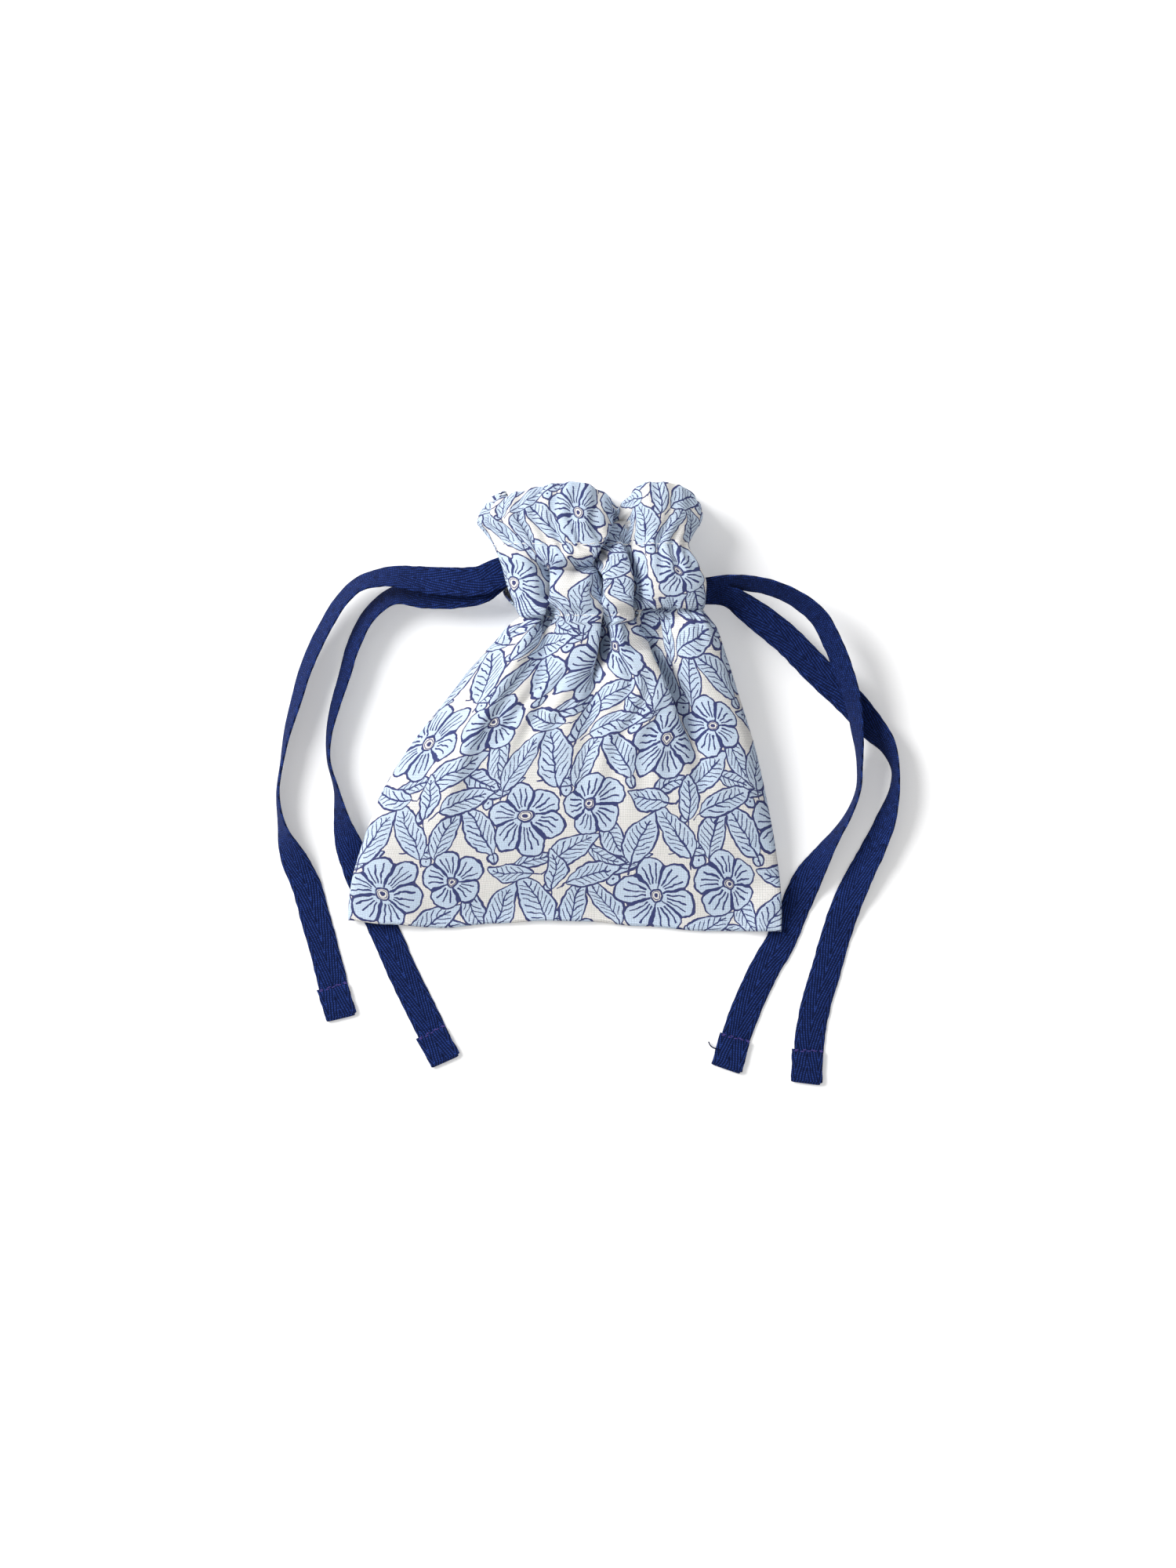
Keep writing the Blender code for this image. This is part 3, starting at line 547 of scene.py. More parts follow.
def relax(base, at, flatSize, front):
    # Cloth that is wider than its place: edge and shear springs push it out into small folds, bending
    # smooths them, and they stay near the large folds and clear of the tape, table and other panel
    lengths = np.linalg.norm(np.diff(base, axis=1), axis=2)
    widths = lengths.sum(axis=1)
    spare = np.maximum(pouch["clothWidth"] - widths, 0) / widths
    share = np.interp(at, crumple["excessAt"], crumple["excess"])
    patches = 1 + crumple["patchiness"] * noiseField(flatSize, crumple["patchAcross"], crumple["patchAlong"],
                                                     crumple["seed"] + front)
    wider = 1 + (spare * share)[:, None] * np.maximum(patches, 0)
    across = lengths * (wider[:, 1:] + wider[:, :-1]) / 2
    along = np.linalg.norm(np.diff(base, axis=0), axis=2)
    grown = np.sqrt((across[:-1] ** 2 + along[:, 1:] ** 2) / (lengths[:-1] ** 2 + along[:, 1:] ** 2))
    rising = np.linalg.norm(base[1:, 1:] - base[:-1, :-1], axis=2) * grown
    falling = np.linalg.norm(base[1:, :-1] - base[:-1, 1:], axis=2) * grown
    rows, columns = base.shape[:2]
    side = np.minimum(np.arange(columns), np.arange(columns)[::-1]) / columns
    free = (ease(0, 0.05, side)[None, :] * ease(0, 0.05, at)[:, None])[:, :, None]
    reach = np.interp(at, crumple["reachAt"], crumple["reach"])[:, None]
    floor = np.array([np.minimum(frontFloor(place, base[row, :, 0]), base[row, :, 2])
                      for row, place in enumerate(at)])
    inCasing = ((at > 0.9) & (at < 2.1))[:, None]
    ceiling = np.where(inCasing, np.maximum(backCeiling, base[:, :, 2]), np.inf)
    wave = noiseField(flatSize, crumple["seedAcross"], crumple["seedAlong"], crumple["seed"] + 5 + front)
    now = base + gridNormals(base) * (wave * crumple["seedHeight"])[:, :, None] * free
    speed = np.zeros_like(now)
    for step in range(crumple["steps"]):
        before = now.copy()
        now += speed
        for odd in (0, 1):
            count = (columns - odd) // 2
            pull(now[:, odd:odd + 2 * count:2], now[:, odd + 1:odd + 1 + 2 * count:2], across[:, odd::2], 1)
            count = (rows - odd) // 2
            pull(now[odd:odd + 2 * count:2], now[odd + 1:odd + 1 + 2 * count:2], along[odd::2], 1)
            lower, upper = slice(odd, rows - 1, 2), slice(odd + 1, rows, 2)
            pull(now[lower, :-1], now[upper, 1:], rising[odd::2], crumple["shear"])
            pull(now[lower, 1:], now[upper, :-1], falling[odd::2], crumple["shear"])
        shift = (now - base) * free
        stiffen(shift, 1, crumple["bendAcross"])
        stiffen(shift, 0, crumple["bendAlong"])
        shift *= 1 - crumple["hold"]
        far = np.linalg.norm(shift, axis=2)
        shift *= (np.tanh(far / reach) * reach / np.maximum(far, 1e-9))[:, :, None]
        now = base + shift
        if front:
            now[:, :, 2] = np.maximum(now[:, :, 2], floor)
        else:
            now[:, :, 2] = np.clip(now[:, :, 2], pouch["cloth"] / 2, ceiling)
        speed = (now - before) * crumple["momentum"]
    return now


def finer(coarse, rows, columns):
    # A field from every second row and column, read smoothly at all of them
    def stretch(values, count):
        at = np.linspace(0, len(values) - 1, count)
        low = np.minimum(at.astype(int), len(values) - 2)
        part = (at - low)[:, None, None]
        full = values[low] * (1 - part) + values[low + 1] * part
        for again in range(2):
            full[1:-1] = (full[:-2] + 2 * full[1:-1] + full[2:]) / 4
        return full
    tall = stretch(coarse, rows)
    return np.moveaxis(stretch(np.moveaxis(tall, 1, 0), columns), 0, 1)


def facingGrid(outer, at, front):
    # The facing follows the outer ply under the top edge and lies flat against the tape in the casing
    outward = gridNormals(outer) * (1 if front else -1)
    near = outer - outward * pouch["plyGap"]
    facing = np.empty_like(outer)
    for row, place in enumerate(at):
        left, right, *rest = station(place)
        narrow = pouch["facingNarrow"] + (1 - pouch["facingNarrow"]) * ease(2.1, 2.75, place)
        x = (left + right) / 2 + np.linspace(-1, 1, outer.shape[1]) * (right - left) / 2 * narrow
        level = np.full_like(x, frontFacing if front else backFacing)
        if front:
            dip = notch["facingDip"] * ease(2.3, 2.9, place)
            level -= dip * bell((x - notchX) / notch["facingReach"])
        pleat = pouch["pleatHeight"] * (1 + np.sin(2 * math.pi * x / pouch["pleatWidth"]))
        level += pleat * (-1 if front else 1)
        flat = np.stack([x, outer[row, :, 1], level], axis=1)
        part = ease(2.05, 2.75, place)
        facing[row] = near[row] * part + flat * (1 - part)
    return outward, facing


def makePanel(name, front, materials, node):
    # One panel with its facing; its outer ply comes back for the stitches
    columns = pouch["columns"]
    at = np.concatenate([
        np.linspace(0, 1, pouch["bodyRows"] + 1)[:-1],
        np.linspace(1, 2, pouch["casingRows"] + 1)[:-1],
        np.linspace(2, 3, pouch["ruffleRows"] + 1)])
    outer = np.array([evenPoints(place, front, columns) for place in at])
    across = np.linspace(0, pouch["clothWidth"], columns + 1)
    along = np.array([clothHeight(place) for place in at])
    coarse = outer[::2, ::2]
    moved = relax(coarse, at[::2], (across[::2], along[::2]), front) - coarse
    outer = outer + finer(moved, *outer.shape[:2])
    print(name, "relaxed; furthest small fold mm", round(float(np.linalg.norm(moved, axis=2).max()) / mm, 2))
    outward, under = facingGrid(outer, at, front)
    turn = outer[-1] - outward[-1] * pouch["plyGap"] / 2
    turn[:, 1] += pouch["plyGap"] * 0.42
    facing = [turn]
    facingAlong = [along[-1] + pouch["topTurn"]]
    for place in np.linspace(3.0, pouch["facingEnd"], pouch["facingRows"]):
        row = int(np.argmin(np.abs(at - place)))
        facing.append(under[row])
        facingAlong.append(2 * along[-1] - along[row] + 2 * pouch["topTurn"])
    points = np.concatenate([outer, np.array(facing)])
    flatSize = (across, np.concatenate([along, facingAlong]))
    panel = gridObject(name, points, pouch["cloth"], materials, flatSize, outward=front)
    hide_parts(node)
    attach(panel, "root")
    print(name, "made:", len(panel.data.polygons), "faces")
    return outer, at


def roundRoute(points, step):
    # Cubic through given points, read at even steps
    points = np.asarray(points, float)
    chord = runLength(points[:, :3])
    fine = np.linspace(0, chord[-1], 4000)
    slopes = np.gradient(points, chord, axis=0)
    i = pairAt(chord, fine)
    gap = np.diff(chord)[i][:, None]
    dense = cubic(points, slopes, i, gap, (fine - chord[i])[:, None] / gap)
    length = runLength(dense[:, :3])
    count = max(int(round(length[-1] / step)), 8)
    at = np.linspace(0, length[-1], count + 1)
    return np.stack([np.interp(at, length, dense[:, k]) for k in range(points.shape[1])], axis=1)


def tapeRoute(firstEnd, secondEnd, exitSide, channelShare):
    # One continuous tape: free end, front channel, turn at the far slit, back channel, free end
    at = 1 + channelShare
    reach = tape["width"] / 2 / pouch["casingLength"]
    edges = [station(at + reach * k)[:2] for k in (-1, -0.5, 0, 0.5, 1)]
    left, right = max(edge[0] for edge in edges), min(edge[1] for edge in edges)
    exitX, turnX = (left, right) if exitSide < 0 else (right, left)
    inward = -1 if turnX > exitX else 1
    y = rowHeight(at) - pouchLength / 2
    middle = (frontStrand + backStrand) / 2
    turn = tape["drop"] / 2
    centreX = turnX + inward * (turn + tape["turnClear"])
    shift, lean = tape["exitShift"][exitSide > 0]
    firstFree, secondFree = ([(x * mm, y * mm, z * mm, lean) for x, y, z, lean in end]
                             for end in (firstEnd, secondEnd))

    def straight(level, up):
        # One strand from its slit to where the turn begins; up is 1 for the front strand
        out = middle + up * tape["exitHeights"][up < 0]
        near = level - up * tape["exitDip"]
        heights = ((y + shift, out, lean), (y + shift * 0.25, near, lean * 0.2), (y, level, 0))
        return ([(exitX - exitSide * place, *rest) for place, rest in zip(tape["exitPlaces"], heights)]
                + [(centreX + inward * back, y, level, 0) for back in tape["turnPlaces"]])
    route = firstFree[::-1] + straight(frontStrand, 1)
    for k in range(tape["turnSteps"] + 1):
        angle = math.pi / 2 - math.pi * k / tape["turnSteps"]
        route.append((centreX - inward * turn * math.cos(angle), y, middle + turn * math.sin(angle), 0))
    route += straight(backStrand, -1)[::-1] + secondFree
    return roundRoute(route, tape["step"])


def tapeFrames(route):
    # Middle, width direction and face direction of the tape at every step of its route
    centre = route[:, :3].copy()
    tangent = np.gradient(centre, axis=0)
    tangent /= np.linalg.norm(tangent, axis=1)[:, None]
    last = None
    sides = []
    for k, direction in enumerate(tangent):
        level = np.cross((0, 0, 1), direction)
        if last is not None and np.linalg.norm(level) < 0.35:
            level = last - direction * np.dot(last, direction)
        level /= np.linalg.norm(level)
        if last is not None and np.dot(level, last) < 0:
            level = -level
        last = level
        upright = np.cross(direction, level)
        if upright[2] < 0:
            upright = -upright
        lean = math.radians(route[k, 3])
        lowest = abs(math.sin(lean)) * tape["width"] / 2 + abs(math.cos(lean)) * tape["thickness"] / 2
        centre[k, 2] = max(centre[k, 2], lowest + tape["tableGap"])
        side = level * math.cos(lean) + upright * math.sin(lean)
        sides.append(side / np.linalg.norm(side))
    sides = np.array(sides)
    faces = np.cross(tangent, sides)
    faces /= np.linalg.norm(faces, axis=1)[:, None]
    return centre, tangent, sides, faces


def upward(face):
    return face if face[2] > 0 else -face


def addHem(centre, tangent, sides, faces):
    # The end is folded back over itself on the upper side
    count = int(round(tape["hem"] / tape["step"]))
    up = upward(faces[-1])
    ahead, across = tangent[-1], sides[-1]
    radius = tape["hemLift"] / 2
    turned = []
    for k in range(1, tape["hemTurnSteps"]):
        angle = math.pi * k / tape["hemTurnSteps"]
        middle = centre[-1] + ahead * radius * math.sin(angle) + up * radius * (1 - math.cos(angle))
        way = ahead * math.cos(angle) + up * math.sin(angle)
        turned.append((middle, way, across, np.cross(way, across)))
    for k in range(count):
        spot = -1 - k
        middle = centre[spot] + upward(faces[spot]) * tape["hemLift"]
        middle = middle + sides[spot] * tape["hemSkew"] * (k / count - 0.4)
        way, across = -tangent[spot], sides[spot]
        turned.append((middle, way, across * tape["hemWider"], np.cross(way, across)))
    return tuple(np.concatenate([values, [t[k] for t in turned]])
                 for k, values in enumerate((centre, tangent, sides, faces)))


def tapeObject(name, frames, material, seed):
    # A flat band with rounded selvedges, swept along its frames; U runs along the tape and V across
    centre, tangent, sides, faces = frames
    around = tape["around"]
    angle = np.linspace(0, 2 * math.pi, around, endpoint=False)
    acrossShape = np.sign(np.cos(angle)) * np.abs(np.cos(angle)) ** tape["roundAcross"]
    upShape = np.sign(np.sin(angle)) * np.abs(np.sin(angle)) ** tape["roundUp"]
    run = runLength(centre)
    rings = []
    for k in range(len(centre)):
        leftWave, rightWave = (noise.noise(Vector((run[k] / tape["edgeRun"], seed, place))) * tape["edgeWave"]
                               for place in (0.5, 9.5))
        shift = np.where(acrossShape > 0, rightWave, leftWave)
        across = acrossShape * tape["width"] / 2 * tape["bodyWidth"] + shift
        up = upShape * tape["thickness"] / 2
        rings.append(centre[k] + sides[k] * across[:, None] + faces[k] * up[:, None])
    rings = np.array(rings)
    count = len(rings)
    mesh = bpy.data.meshes.new(name)
    vertices = rings.reshape(-1, 3)
    index = np.arange(count * around).reshape(count, around)
    after = np.roll(index, -1, axis=1)
    quads = np.stack([index[:-1], after[:-1], after[1:], index[1:]], axis=2).reshape(-1, 4)
    polygons = quads.tolist() + [index[0][::-1].tolist(), index[-1].tolist()]
    mesh.from_pydata(vertices.tolist(), [], polygons)
    spread = np.broadcast_to(acrossShape * tape["width"] / 2, (count, around)).ravel()
    along = np.repeat(run, around)
    flat = mesh.uv_layers.new(name="Flat")
    corner = np.empty(len(mesh.loops), np.int32)
    mesh.loops.foreach_get("vertex_index", corner)
    flat.data.foreach_set("uv", np.stack([along[corner], spread[corner]], axis=1).astype(np.float32).ravel())
    mesh.shade_smooth()
    mesh.materials.append(material)
    return linked(name, mesh)


def strandOf(frames, first, last):
    # The part of the frames from one step to another, in either direction
    if first <= last:
        return tuple(values[first:last + 1] for values in frames)
    centre, tangent, sides, faces = (values[last:first + 1][::-1] for values in frames)
    return centre, -tangent, sides, -faces


def makeDrawstring(names, route, material, node, seed, side):
    # Two free strands and the length that stays in the casing; the guide lines of its hems come back
    frames = tapeFrames(route)
    inside = np.nonzero(route[:, 0] * side < tape["insideX"][side > 0] * side)[0]
    first, last = int(inside[0]), int(inside[-1])
    pieces, bars = [], []
    for k, (name, near, far) in enumerate(((names[0], first, 0), (names[1], last, len(route) - 1))):
        strand = strandOf(frames, near, far)
        path = strand[0]
        length = float(runLength(path)[-1])
        piece = tapeObject(name, addHem(*strand), material, seed + k)
        tuple(path[0])
        [tuple(p) for p in path]
        pieces.append(piece)
        bars += hemLines(strand)
        print(name, "length mm", round(length / mm, 1))
    pieces.append(tapeObject(names[2], strandOf(frames, first, last), material, seed + 5))
    for piece in pieces:
        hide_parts(node)
        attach(piece, "root")
    return bars


class Wire:
    # A number on its way through a node tree, so that sums are written as sums

    def __init__(self, tree, socket):
        self.tree = tree
        self.socket = socket

    def math(self, operation, *others):
        node = self.tree.nodes.new("ShaderNodeMath")
        node.operation = operation
        for k, value in enumerate((self,) + others):
            if isinstance(value, Wire):
                self.tree.links.new(value.socket, node.inputs[k])
            else:
                node.inputs[k].default_value = value
        return Wire(self.tree, node.outputs[0])

    __add__ = partialmethod(math, "ADD")
    __sub__ = partialmethod(math, "SUBTRACT")
    __mul__ = partialmethod(math, "MULTIPLY")
    __truediv__ = partialmethod(math, "DIVIDE")
    __lt__ = partialmethod(math, "LESS_THAN")
    __gt__ = partialmethod(math, "GREATER_THAN")
    size = partialmethod(math, "ABSOLUTE")
    least = partialmethod(math, "MINIMUM")
    most = partialmethod(math, "MAXIMUM")

    def wrap(self, low, high):
        return self.math("WRAP", high, low)


def shaderGroup(name, inputs, outputs):
    # An empty group with its named inputs as wires, and a function that ties its outputs
    tree = bpy.data.node_groups.new(name, "ShaderNodeTree")
    for label, kind, value in inputs:
        socket = tree.interface.new_socket(label, in_out="INPUT", socket_type="NodeSocket" + kind)
        if value is not None:
            socket.default_value = value
    for label, kind in outputs:
        tree.interface.new_socket(label, in_out="OUTPUT", socket_type="NodeSocket" + kind)
    source = tree.nodes.new("NodeGroupInput")
    sink = tree.nodes.new("NodeGroupOutput")
    wires = {label: Wire(tree, source.outputs[label]) for label, _, _ in inputs}

    def finish(**values):
        for label, wire in values.items():
            tree.links.new(wire.socket, sink.inputs[label])
    return tree, wires, finish


def setInputs(tree, node, values):
    # Ties a node's named inputs to wires, or sets them to plain values
    for label, value in values.items():
        if isinstance(value, Wire):
            tree.links.new(value.socket, node.inputs[label])
        else:
            node.inputs[label].default_value = value


def addNode(tree, kind, **values):
    node = tree.nodes.new(kind)
    setInputs(tree, node, values)
    return node


def useGroup(tree, group, **values):
    # Puts a group into a tree with the given inputs; its outputs come back as wires
    node = tree.nodes.new("ShaderNodeGroup")
    node.node_tree = group
    setInputs(tree, node, values)
    return {socket.name: Wire(tree, socket) for socket in node.outputs}


def noiseWire(tree, vector, scale):
    # Unevenness from about -1 to 1
    node = addNode(tree, "ShaderNodeTexNoise", Vector=vector, Scale=scale, Detail=1)
    return (Wire(tree, node.outputs["Fac"]) - 0.5) * 2


def splitVector(tree, vector):
    node = addNode(tree, "ShaderNodeSeparateXYZ", Vector=vector)
    return Wire(tree, node.outputs["X"]), Wire(tree, node.outputs["Y"])


def joinVector(tree, x, y):
    return Wire(tree, addNode(tree, "ShaderNodeCombineXYZ", X=x, Y=y).outputs[0])


def mixColour(tree, part, first, second):
    # From the first colour to the second; sockets 6, 7 and 2 are the node's colour ones
    node = tree.nodes.new("ShaderNodeMix")
    node.data_type = "RGBA"
    first, second = (value if isinstance(value, Wire) else (*value, 1) for value in (first, second))
    setInputs(tree, node, {"Factor": part, 6: first, 7: second})
    return Wire(tree, node.outputs[2])


# The print: a half-drop repeat of round blossoms, broad leaves and berries, in millimetres and degrees
botanical = {
    "scale": 1.2,
    "repeatAcross": 37,
    "repeatUp": 43,
    "line": 0.275,
    "wobble": 0.55,
    # x, y, radius, petals, turn
    "blossoms": ((9, 9, 10.8, 6, 12), (27.5, 13.5, 8.6, 5, 40)),
    # x, y, angle, length, width, bend
    "leaves": (
        (20.5, 22.5, 20, 14, 4.6, -0.12), (2.2, 18.6, 30, 12, 4.4, 0.12), (12.6, 40.6, 20, 13, 4.6, 0.10),
        (31.4, 41.0, -24, 13, 4.8, -0.10), (22.5, 1.0, 38, 17.5, 7.8, 0.10), (33.8, 3.2, -62, 14.5, 6.6, -0.12),
        (4.2, 25.8, 66, 17.5, 8.0, 0.12), (13.6, 27.8, 118, 18.5, 8.4, -0.10),
        (23.6, 26.8, 72, 15.5, 7.2, 0.14), (32.6, 28.2, 128, 16.5, 7.6, -0.12),
        (5.6, 36.6, 168, 13.5, 6.2, 0.10), (28.4, 36.2, 22, 15.5, 6.8, 0.12),
        (18.2, 37.6, 96, 13, 5.8, -0.12),
    ),
    # x, y, radius
    "berries": ((19.4, 18.6, 1.9), (37.2, 20.0, 1.6), (8.8, 31.6, 1.5), (34.5, 35.2, 1.7), (17.0, 31.9, 1.3)),
    "ground": (0.88, 0.862, 0.832),
    "fill": (0.600, 0.735, 0.915),
    "pale": (0.700, 0.805, 0.935),
    "ink": (0.022, 0.029, 0.155),
}


def blossomGroup():
    # Petals are widest at 0.60 of the radius; their seams and veins end at 0.80, and the heart lies within 0.17
    tree, got, finish = shaderGroup(
        "Blossom",
        (("X", "Float", 0), ("Y", "Float", 0), ("Radius", "Float", 10), ("Petals", "Float", 6),
         ("Turn", "Float", 0), ("Line", "Float", 0.22)),
        (("Fill", "Float"), ("Ink", "Float")))
    x, y, radius = got["X"], got["Y"], got["Radius"]
    half = got["Petals"].math("POWER", -1) * math.pi
    angle = y.math("ARCTAN2", x) + got["Turn"]
    folded = angle.math("WRAP", half, half * -1)
    far = (x * x + y * y).math("SQRT")
    forward = far * folded.math("COSINE")
    aside = (far * folded.math("SINE")).size()
    wide = radius * 0.60 * half.math("TANGENT") * 1.05
    egg = ((forward - radius * 0.60) / (radius * 0.40)).math("POWER", 2) + (aside / wide).math("POWER", 2)
    shape = egg.math("SQRT") - 1
    within = (shape < 0).most((far < radius * 0.60) * (far > radius * 0.16))
    outline = ((shape * wide).size() < got["Line"]) * (forward > radius * 0.5)
    toEdge = (half - folded.size()).math("SINE") * far
    seam = (toEdge < got["Line"] * 0.9) * (far < radius * 0.80) * (far > radius * 0.20)
    spoke = half * 0.46
    toVein = folded.math("WRAP", spoke * 0.5, spoke * -0.5).size() * far
    vein = (toVein < got["Line"] * 0.80) * (far > radius * 0.30) * (far < radius * 0.80)
    heart = ((far - radius * 0.17).size() < got["Line"]).most(far < radius * 0.06)
    ring = ((far - radius * 0.115).size() < got["Line"] * 0.4)
    finish(Fill=within, Ink=outline.most(seam).most(vein).most(heart).most(ring))
    return tree


def leafGroup():
    # A bent leaf with a stalk and slanting ribs, both placed as shares of its length
    tree, got, finish = shaderGroup(
        "Leaf",
        (("X", "Float", 0), ("Y", "Float", 0), ("Cosine", "Float", 1), ("Sine", "Float", 0),
         ("Length", "Float", 15), ("Width", "Float", 6), ("Bend", "Float", 0.1), ("Line", "Float", 0.22)),
        (("Fill", "Float"), ("Ink", "Float")))
    along = got["X"] * got["Cosine"] + got["Y"] * got["Sine"]
    across = got["Y"] * got["Cosine"] - got["X"] * got["Sine"]
    part = along / got["Length"] + 0.5
    across = across + got["Bend"] * along * along / got["Length"] * 2
    held = part.most(0).least(1)
    broad = (held.math("POWER", 0.8) * math.pi).math("SINE").most(0).math("POWER", 0.85) * got["Width"] * 0.5
    side = across.size()
    inLength = (part > 0) * (part < 1)
    fill = (side < broad) * inLength
    outline = ((side - broad).size() < got["Line"]) * inLength
    stalk = (side < got["Line"] * 0.8) * (part > -0.16) * (part < 0.84)
    rib = (along - side * 1.1 + got["Length"] * 0.5).wrap(-0.92, 0.92).size()
    ribs = (rib < got["Line"] * 0.78) * (side < broad * 0.78) * (part > 0.16) * (part < 0.80)
    finish(Fill=fill, Ink=outline.most(stalk).most(ribs * fill))
    return tree


def printGroup():
    # Where the cloth is inked, from its place on the flat cloth
    tree, got, finish = shaderGroup(
        "Botanical print", (("Vector", "Vector", None), ("Line", "Float", botanical["line"])),
        (("Fill", "Float"), ("Ink", "Float"), ("Tone", "Float")))
    blossom, leaf = blossomGroup(), leafGroup()
    x, y = splitVector(tree, got["Vector"])
    x, y = x / (mm * botanical["scale"]), y / (mm * botanical["scale"])
    place = joinVector(tree, x, y)
    x = x + noiseWire(tree, place, 0.075) * 2.6 + noiseWire(tree, place, 0.42) * botanical["wobble"]
    moved = joinVector(tree, y, x)
    y = y + noiseWire(tree, moved, 0.080) * 2.6 + noiseWire(tree, moved, 0.45) * botanical["wobble"]
    thick = got["Line"] * (noiseWire(tree, place, 0.9) * 0.35 + 1)
    across, up = botanical["repeatAcross"], botanical["repeatUp"]

    def local(px, py):
        # The nearest copy of a motif: columns stand half a repeat higher than their neighbours
        column = ((x - px) / across + 0.5).math("FLOOR")
        nearX = x - px - column * across
        nearY = (y - py - column * (up / 2)).wrap(-up / 2, up / 2)
        return nearX, nearY

    fill, ink = x * 0, x * 0
    layers = []
    for px, py, radius in botanical["berries"]:
        nearX, nearY = local(px, py)
        far = (nearX * nearX + nearY * nearY).math("SQRT")
        layers.append({"Fill": far < radius, "Ink": ((far - radius).size() < thick).most(far < thick * 1.2)})
    for px, py, angle, length, width, bend in botanical["leaves"]:
        nearX, nearY = local(px, py)
        turn = math.radians(angle)
        layers.append(useGroup(tree, leaf, X=nearX, Y=nearY, Cosine=math.cos(turn), Sine=math.sin(turn),
                               Length=length, Width=width, Bend=bend, Line=thick))
    for px, py, radius, petals, turn in botanical["blossoms"]:
        nearX, nearY = local(px, py)
        layers.append(useGroup(tree, blossom, X=nearX, Y=nearY, Radius=radius, Petals=petals,
                               Turn=math.radians(turn), Line=thick))
    for layer in layers:
        covered = layer["Fill"].most(layer["Ink"])
        bare = covered * -1 + 1
        fill = fill * bare + layer["Fill"] * covered
        ink = ink * bare + layer["Ink"]
    finish(Fill=fill.least(1), Ink=ink.least(1), Tone=noiseWire(tree, place, 0.16))


# How the cloth's print and weave show, lengths in millimetres except the bump's depth
linen = {
    "pitch": 0.48,
    "slub": 0.10,
    "drift": 0.12,
    "inkCover": 0.975,
    "inkInGaps": -0.16,
    "brightness": 1.19,
    "gapShade": 0.86,
    "bump": 0.9,
    "bumpDepth": 0.00016,  # in metres
    "wrongSide": 0.30,  # how much of the print shows through
}


def weaveGroup():
    # Plain weave: warp and weft take turns on top, and the yarns are uneven like linen
    tree, got, finish = shaderGroup(
        "Plain weave", (("Vector", "Vector", None), ("Pitch", "Float", linen["pitch"]),
                        ("Slub", "Float", linen["slub"])),
        (("Height", "Float"), ("Tone", "Float"), ("Gap", "Float")))
    x, y = splitVector(tree, got["Vector"])
    x, y = x / mm, y / mm
    place = joinVector(tree, x, y)
    u = (x + noiseWire(tree, place, 0.35) * linen["drift"]) / got["Pitch"]
    v = (y + noiseWire(tree, place, 0.31) * linen["drift"]) / got["Pitch"]
    warp, weft = u.math("FLOOR"), v.math("FLOOR")
    over = (warp + weft).math("FLOORED_MODULO", 2)
    crownU = ((u - warp) * math.pi).math("SINE")
    crownV = ((v - weft) * math.pi).math("SINE")
    warpTop = crownU.math("POWER", 0.7) * (crownV * 0.45 + 0.55)
    weftTop = crownV.math("POWER", 0.7) * (crownU * 0.45 + 0.55)
    height = warpTop * over + weftTop * (over * -1 + 1)
    warpTone = noiseWire(tree, joinVector(tree, warp * 7.31, v * 0.09), 1.0)
    weftTone = noiseWire(tree, joinVector(tree, u * 0.09, weft * 7.77), 1.0)
    tone = (warpTone * over + weftTone * (over * -1 + 1)) * got["Slub"]
    gap = (height * -1 + 1).math("POWER", 2)
    finish(Height=height, Tone=tone, Gap=gap)


def flatPlace(tree):
    # The piece's place on its flat cloth or along its tape, in metres
    node = tree.nodes.new("ShaderNodeUVMap")
    node.uv_map = "Flat"
    return Wire(tree, node.outputs[0])


def principled(name, roughness, specular=0.08, sheen=0.03):
    # A material with its node tree and shader
    material = bpy.data.materials.new(name)
    material.use_nodes = True
    tree = material.node_tree
    shader = tree.nodes["Principled BSDF"]
    shader.inputs["Roughness"].default_value = roughness
    shader.inputs["Specular IOR Level"].default_value = specular
    shader.inputs["Sheen Weight"].default_value = sheen
    return material, tree, shader


def addBump(tree, shader, height, strength, distance):
    bump = addNode(tree, "ShaderNodeBump", Strength=strength, Distance=distance, Height=height)
    tree.links.new(bump.outputs[0], shader.inputs["Normal"])


def scaled(tree, colour, factor):
    # The colour made lighter or darker by a number
    node = tree.nodes.new("ShaderNodeVectorMath")
    node.operation = "SCALE"
    setInputs(tree, node, {"Vector": colour, "Scale": factor})
    return Wire(tree, node.outputs[0])


def makeCloth(name, printShown):
    # printShown is 1 on the printed face and less on the back, where the ink only shows through
    material, tree, shader = principled(name, 0.88)
    place = flatPlace(tree)
    pattern = useGroup(tree, bpy.data.node_groups["Botanical print"], Vector=place)
    weave = useGroup(tree, bpy.data.node_groups["Plain weave"], Vector=place)
    dye = mixColour(tree, pattern["Tone"] * 0.5 + 0.5, botanical["fill"], botanical["pale"])
    colour = mixColour(tree, pattern["Fill"] * printShown, botanical["ground"], dye)
    ink = pattern["Ink"] * (linen["inkCover"] * printShown) * (weave["Gap"] * linen["inkInGaps"] + 1)
    colour = mixColour(tree, ink, colour, botanical["ink"])
    colour = scaled(tree, colour, weave["Tone"] + linen["brightness"] - weave["Gap"] * linen["gapShade"])
    tree.links.new(colour.socket, shader.inputs["Base Color"])
    addBump(tree, shader, weave["Height"], linen["bump"], linen["bumpDepth"])
    return material
